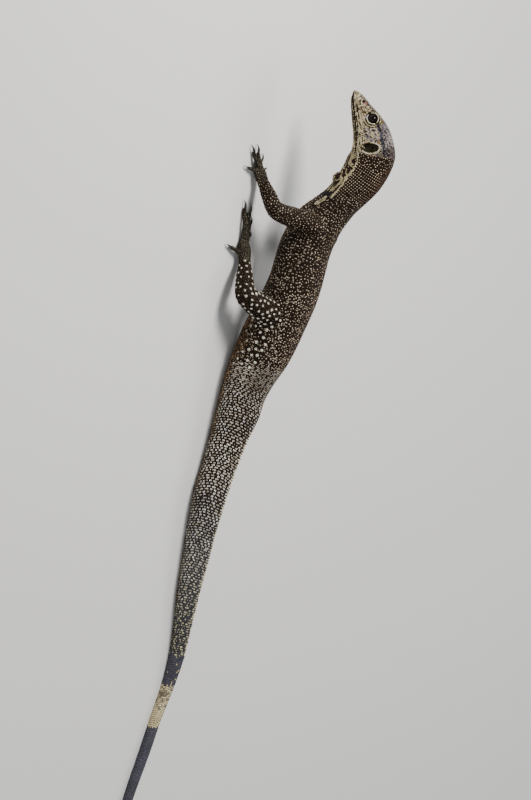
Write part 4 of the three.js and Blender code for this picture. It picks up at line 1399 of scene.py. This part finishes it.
def mapped(tree, value, low, high, to_low, to_high, kind="LINEAR"):
    """A value spread from one range over another"""
    names = ("Value", "From Min", "From Max", "To Min", "To Max")
    given = dict(zip(names, (value, low, high, to_low, to_high)))
    return add_node(tree, "ShaderNodeMapRange", interpolation_type=kind, **given).outputs["Result"]


def blended(tree, kind, share, a, b):
    """One colour laid over another"""
    node = add_node(tree, "ShaderNodeMix", data_type="RGBA", blend_type=kind, Factor=share)
    put_in(tree, node.inputs[6], a)
    put_in(tree, node.inputs[7], b)
    return node.outputs[2]


# %% [markdown]
# Hide, eye and horn are all speckled, each with grains of its own size and strength. The speckle is one
# group of nodes, which makes a colour lighter and darker in places, and rougher where it is lighter.

# %% The speckle
speckle = bpy.data.node_groups.new("speckle", "ShaderNodeTree")
AMOUNTS = ("Scale", "Detail", "Darkest", "Lightest", "Glossiest", "Dullest")
for name, kind in [("Color", "Color"), ("Vector", "Vector")] + [(amount, "Float") for amount in AMOUNTS]:
    speckle.interface.new_socket(name, in_out="INPUT", socket_type=f"NodeSocket{kind}")
for name, kind in (("Color", "Color"), ("Roughness", "Float")):
    speckle.interface.new_socket(name, in_out="OUTPUT", socket_type=f"NodeSocket{kind}")
given, made = speckle.nodes.new("NodeGroupInput").outputs, speckle.nodes.new("NodeGroupOutput").inputs
noise_inputs = {name: given[name] for name in ("Vector", "Scale", "Detail")}
grains = add_node(speckle, "ShaderNodeTexNoise", **noise_inputs).outputs["Fac"]
light = mapped(speckle, grains, 0.3, 0.7, given["Darkest"], given["Lightest"])
dull = mapped(speckle, grains, 0.3, 0.7, given["Glossiest"], given["Dullest"])
speckle.links.new(blended(speckle, "MULTIPLY", 1, given["Color"], light), made["Color"])
speckle.links.new(dull, made["Roughness"])
print("speckle:", [item.name for item in speckle.interface.items_tree])

# %% What the finishes share
def new_finish(name):
    """A new material, its tree, its surface, and where a point is on the piece"""
    finish = bpy.data.materials.new(name)
    finish.use_nodes = True
    tree = finish.node_tree
    where = add_node(tree, "ShaderNodeTexCoord").outputs["Object"]
    return finish, tree, tree.nodes["Principled BSDF"], where


def field_of(tree, name, output="Fac"):
    """What the mesh says of each point"""
    return add_node(tree, "ShaderNodeAttribute", attribute_name=name).outputs[output]


def ramped(tree, value, first, last, *stops):
    """Colours from the first to the last, past stops that are a place and a colour each"""
    node = add_node(tree, "ShaderNodeValToRGB", Fac=value)
    elements = node.color_ramp.elements
    elements[0].color, elements[1].color = (*colour(first), 1), (*colour(last), 1)
    for at, text in stops:
        elements.new(at).color = (*colour(text), 1)
    return node.outputs["Color"]


def speckled(tree, surface, colours, where, *amounts):
    """The speckle over a colour, led to the base colour and the roughness"""
    node = add_node(tree, "ShaderNodeGroup", node_tree=speckle, Color=colours, Vector=where,
                    **dict(zip(AMOUNTS, amounts)))
    put_in(tree, surface.inputs["Base Color"], node.outputs["Color"])
    put_in(tree, surface.inputs["Roughness"], node.outputs["Roughness"])


def bumped(tree, surface, height, strength):
    """Fine relief"""
    bump = add_node(tree, "ShaderNodeBump", Height=height, Strength=strength, Distance=0.05 * MM)
    put_in(tree, surface.inputs["Normal"], bump.outputs["Normal"])


# %% [markdown]
# A scale is dull horn, with shade painted darker in the groove round it. The hide reads the two colours of
# each scale, and how far a point is from the middle of its mark, from the mesh, so that every mark has a
# clean edge.

# %% The hide
hide, tree, surface, where = new_finish("scaly_hide")
mark_tone, ground_tone = field_of(tree, "tone", "Color"), field_of(tree, "ground", "Color")
from_mark, from_top = field_of(tree, "from_mark"), field_of(tree, "from_top")
off_mark = mapped(tree, from_mark, MARK_EDGE - 0.1, MARK_EDGE + 0.1, 0, 1, "SMOOTHSTEP")
two_tone = blended(tree, "MIX", off_mark, mark_tone, ground_tone)
# painted shade: the rim of each scale, down in its groove, is darkened to 0.4 of its colour
shade = mapped(tree, from_top, 0.84, 1.0, 1, 0.4)
groove_shaded = blended(tree, "MULTIPLY", 1, two_tone, shade)
speckled(tree, surface, groove_shaded, where, 700, 3, 0.78, 1.2, 0.42, 0.62)
set_inputs(surface, {"Specular IOR Level": 0.09})
grain = add_node(tree, "ShaderNodeTexNoise", Vector=where, Scale=3800, Detail=2).outputs["Fac"]
bumped(tree, surface, grain, 0.3)
print(hide.name, len(tree.nodes), "nodes")

# %% [markdown]
# The iris is nearly as dark as the pupil, so the colours run out from the axis in near black browns, and
# a thin wet coat gives the one bright point.

# %% The eye
wet, tree, surface, where = new_finish("wet_eye")
EYE_SPAN = 1.6  # radians from the axis, over which the ramp runs
off_axis = mapped(tree, field_of(tree, "off_axis"), 0, EYE_SPAN, 0, 1)
pupil, iris = PUPIL / EYE_SPAN, IRIS / EYE_SPAN
eye_tone = ramped(tree, off_axis, "050404", "0d0a08", (pupil, "050404"), (pupil + 0.03, "170f0a"),
                  (0.5 * iris + 0.1, "100b08"), (iris, "0c0907"))
speckled(tree, surface, eye_tone, where, 1500, 4, 0.5, 1.5, 0.03, 0.08)
set_inputs(surface, {"Specular IOR Level": 0.08, "Coat Weight": 0.10, "Coat Roughness": 0.06})
for eye in eyes:
    eye.data.materials.append(wet)
print(wet.name, len(tree.nodes), "nodes")

# %% [markdown]
# Horn wears paler towards the tip. The mesh says how far along its claw each point is, and a ramp turns
# that into colour.

# %% The claws
horn, tree, surface, where = new_finish("dark_horn")
horn_tone = ramped(tree, field_of(tree, "along"), "1a1410", "6a5a45", (0.55, "2a211a"))
speckled(tree, surface, horn_tone, where, 900, 4, 0.6, 1.4, 0.28, 0.42)
lines_in_horn = add_node(tree, "ShaderNodeTexWave", Vector=where, Scale=900, Distortion=3).outputs["Fac"]
bumped(tree, surface, lines_in_horn, 0.2)
claws.data.materials.append(horn)
print(horn.name, len(tree.nodes), "nodes")

# %% Joining everything to the model
for piece in [skin] + coat:
    piece.data.materials.append(hide)
slots = [(skin, "skin"), (claws, "claw")]
slots += [(piece, "skin") for piece in coat] + [(eye, "eye") for eye in eyes]
for piece, slot in slots:
    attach(piece, "root")
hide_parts(*FLESH)
print("pieces:", 2 + len(coat) + len(eyes))
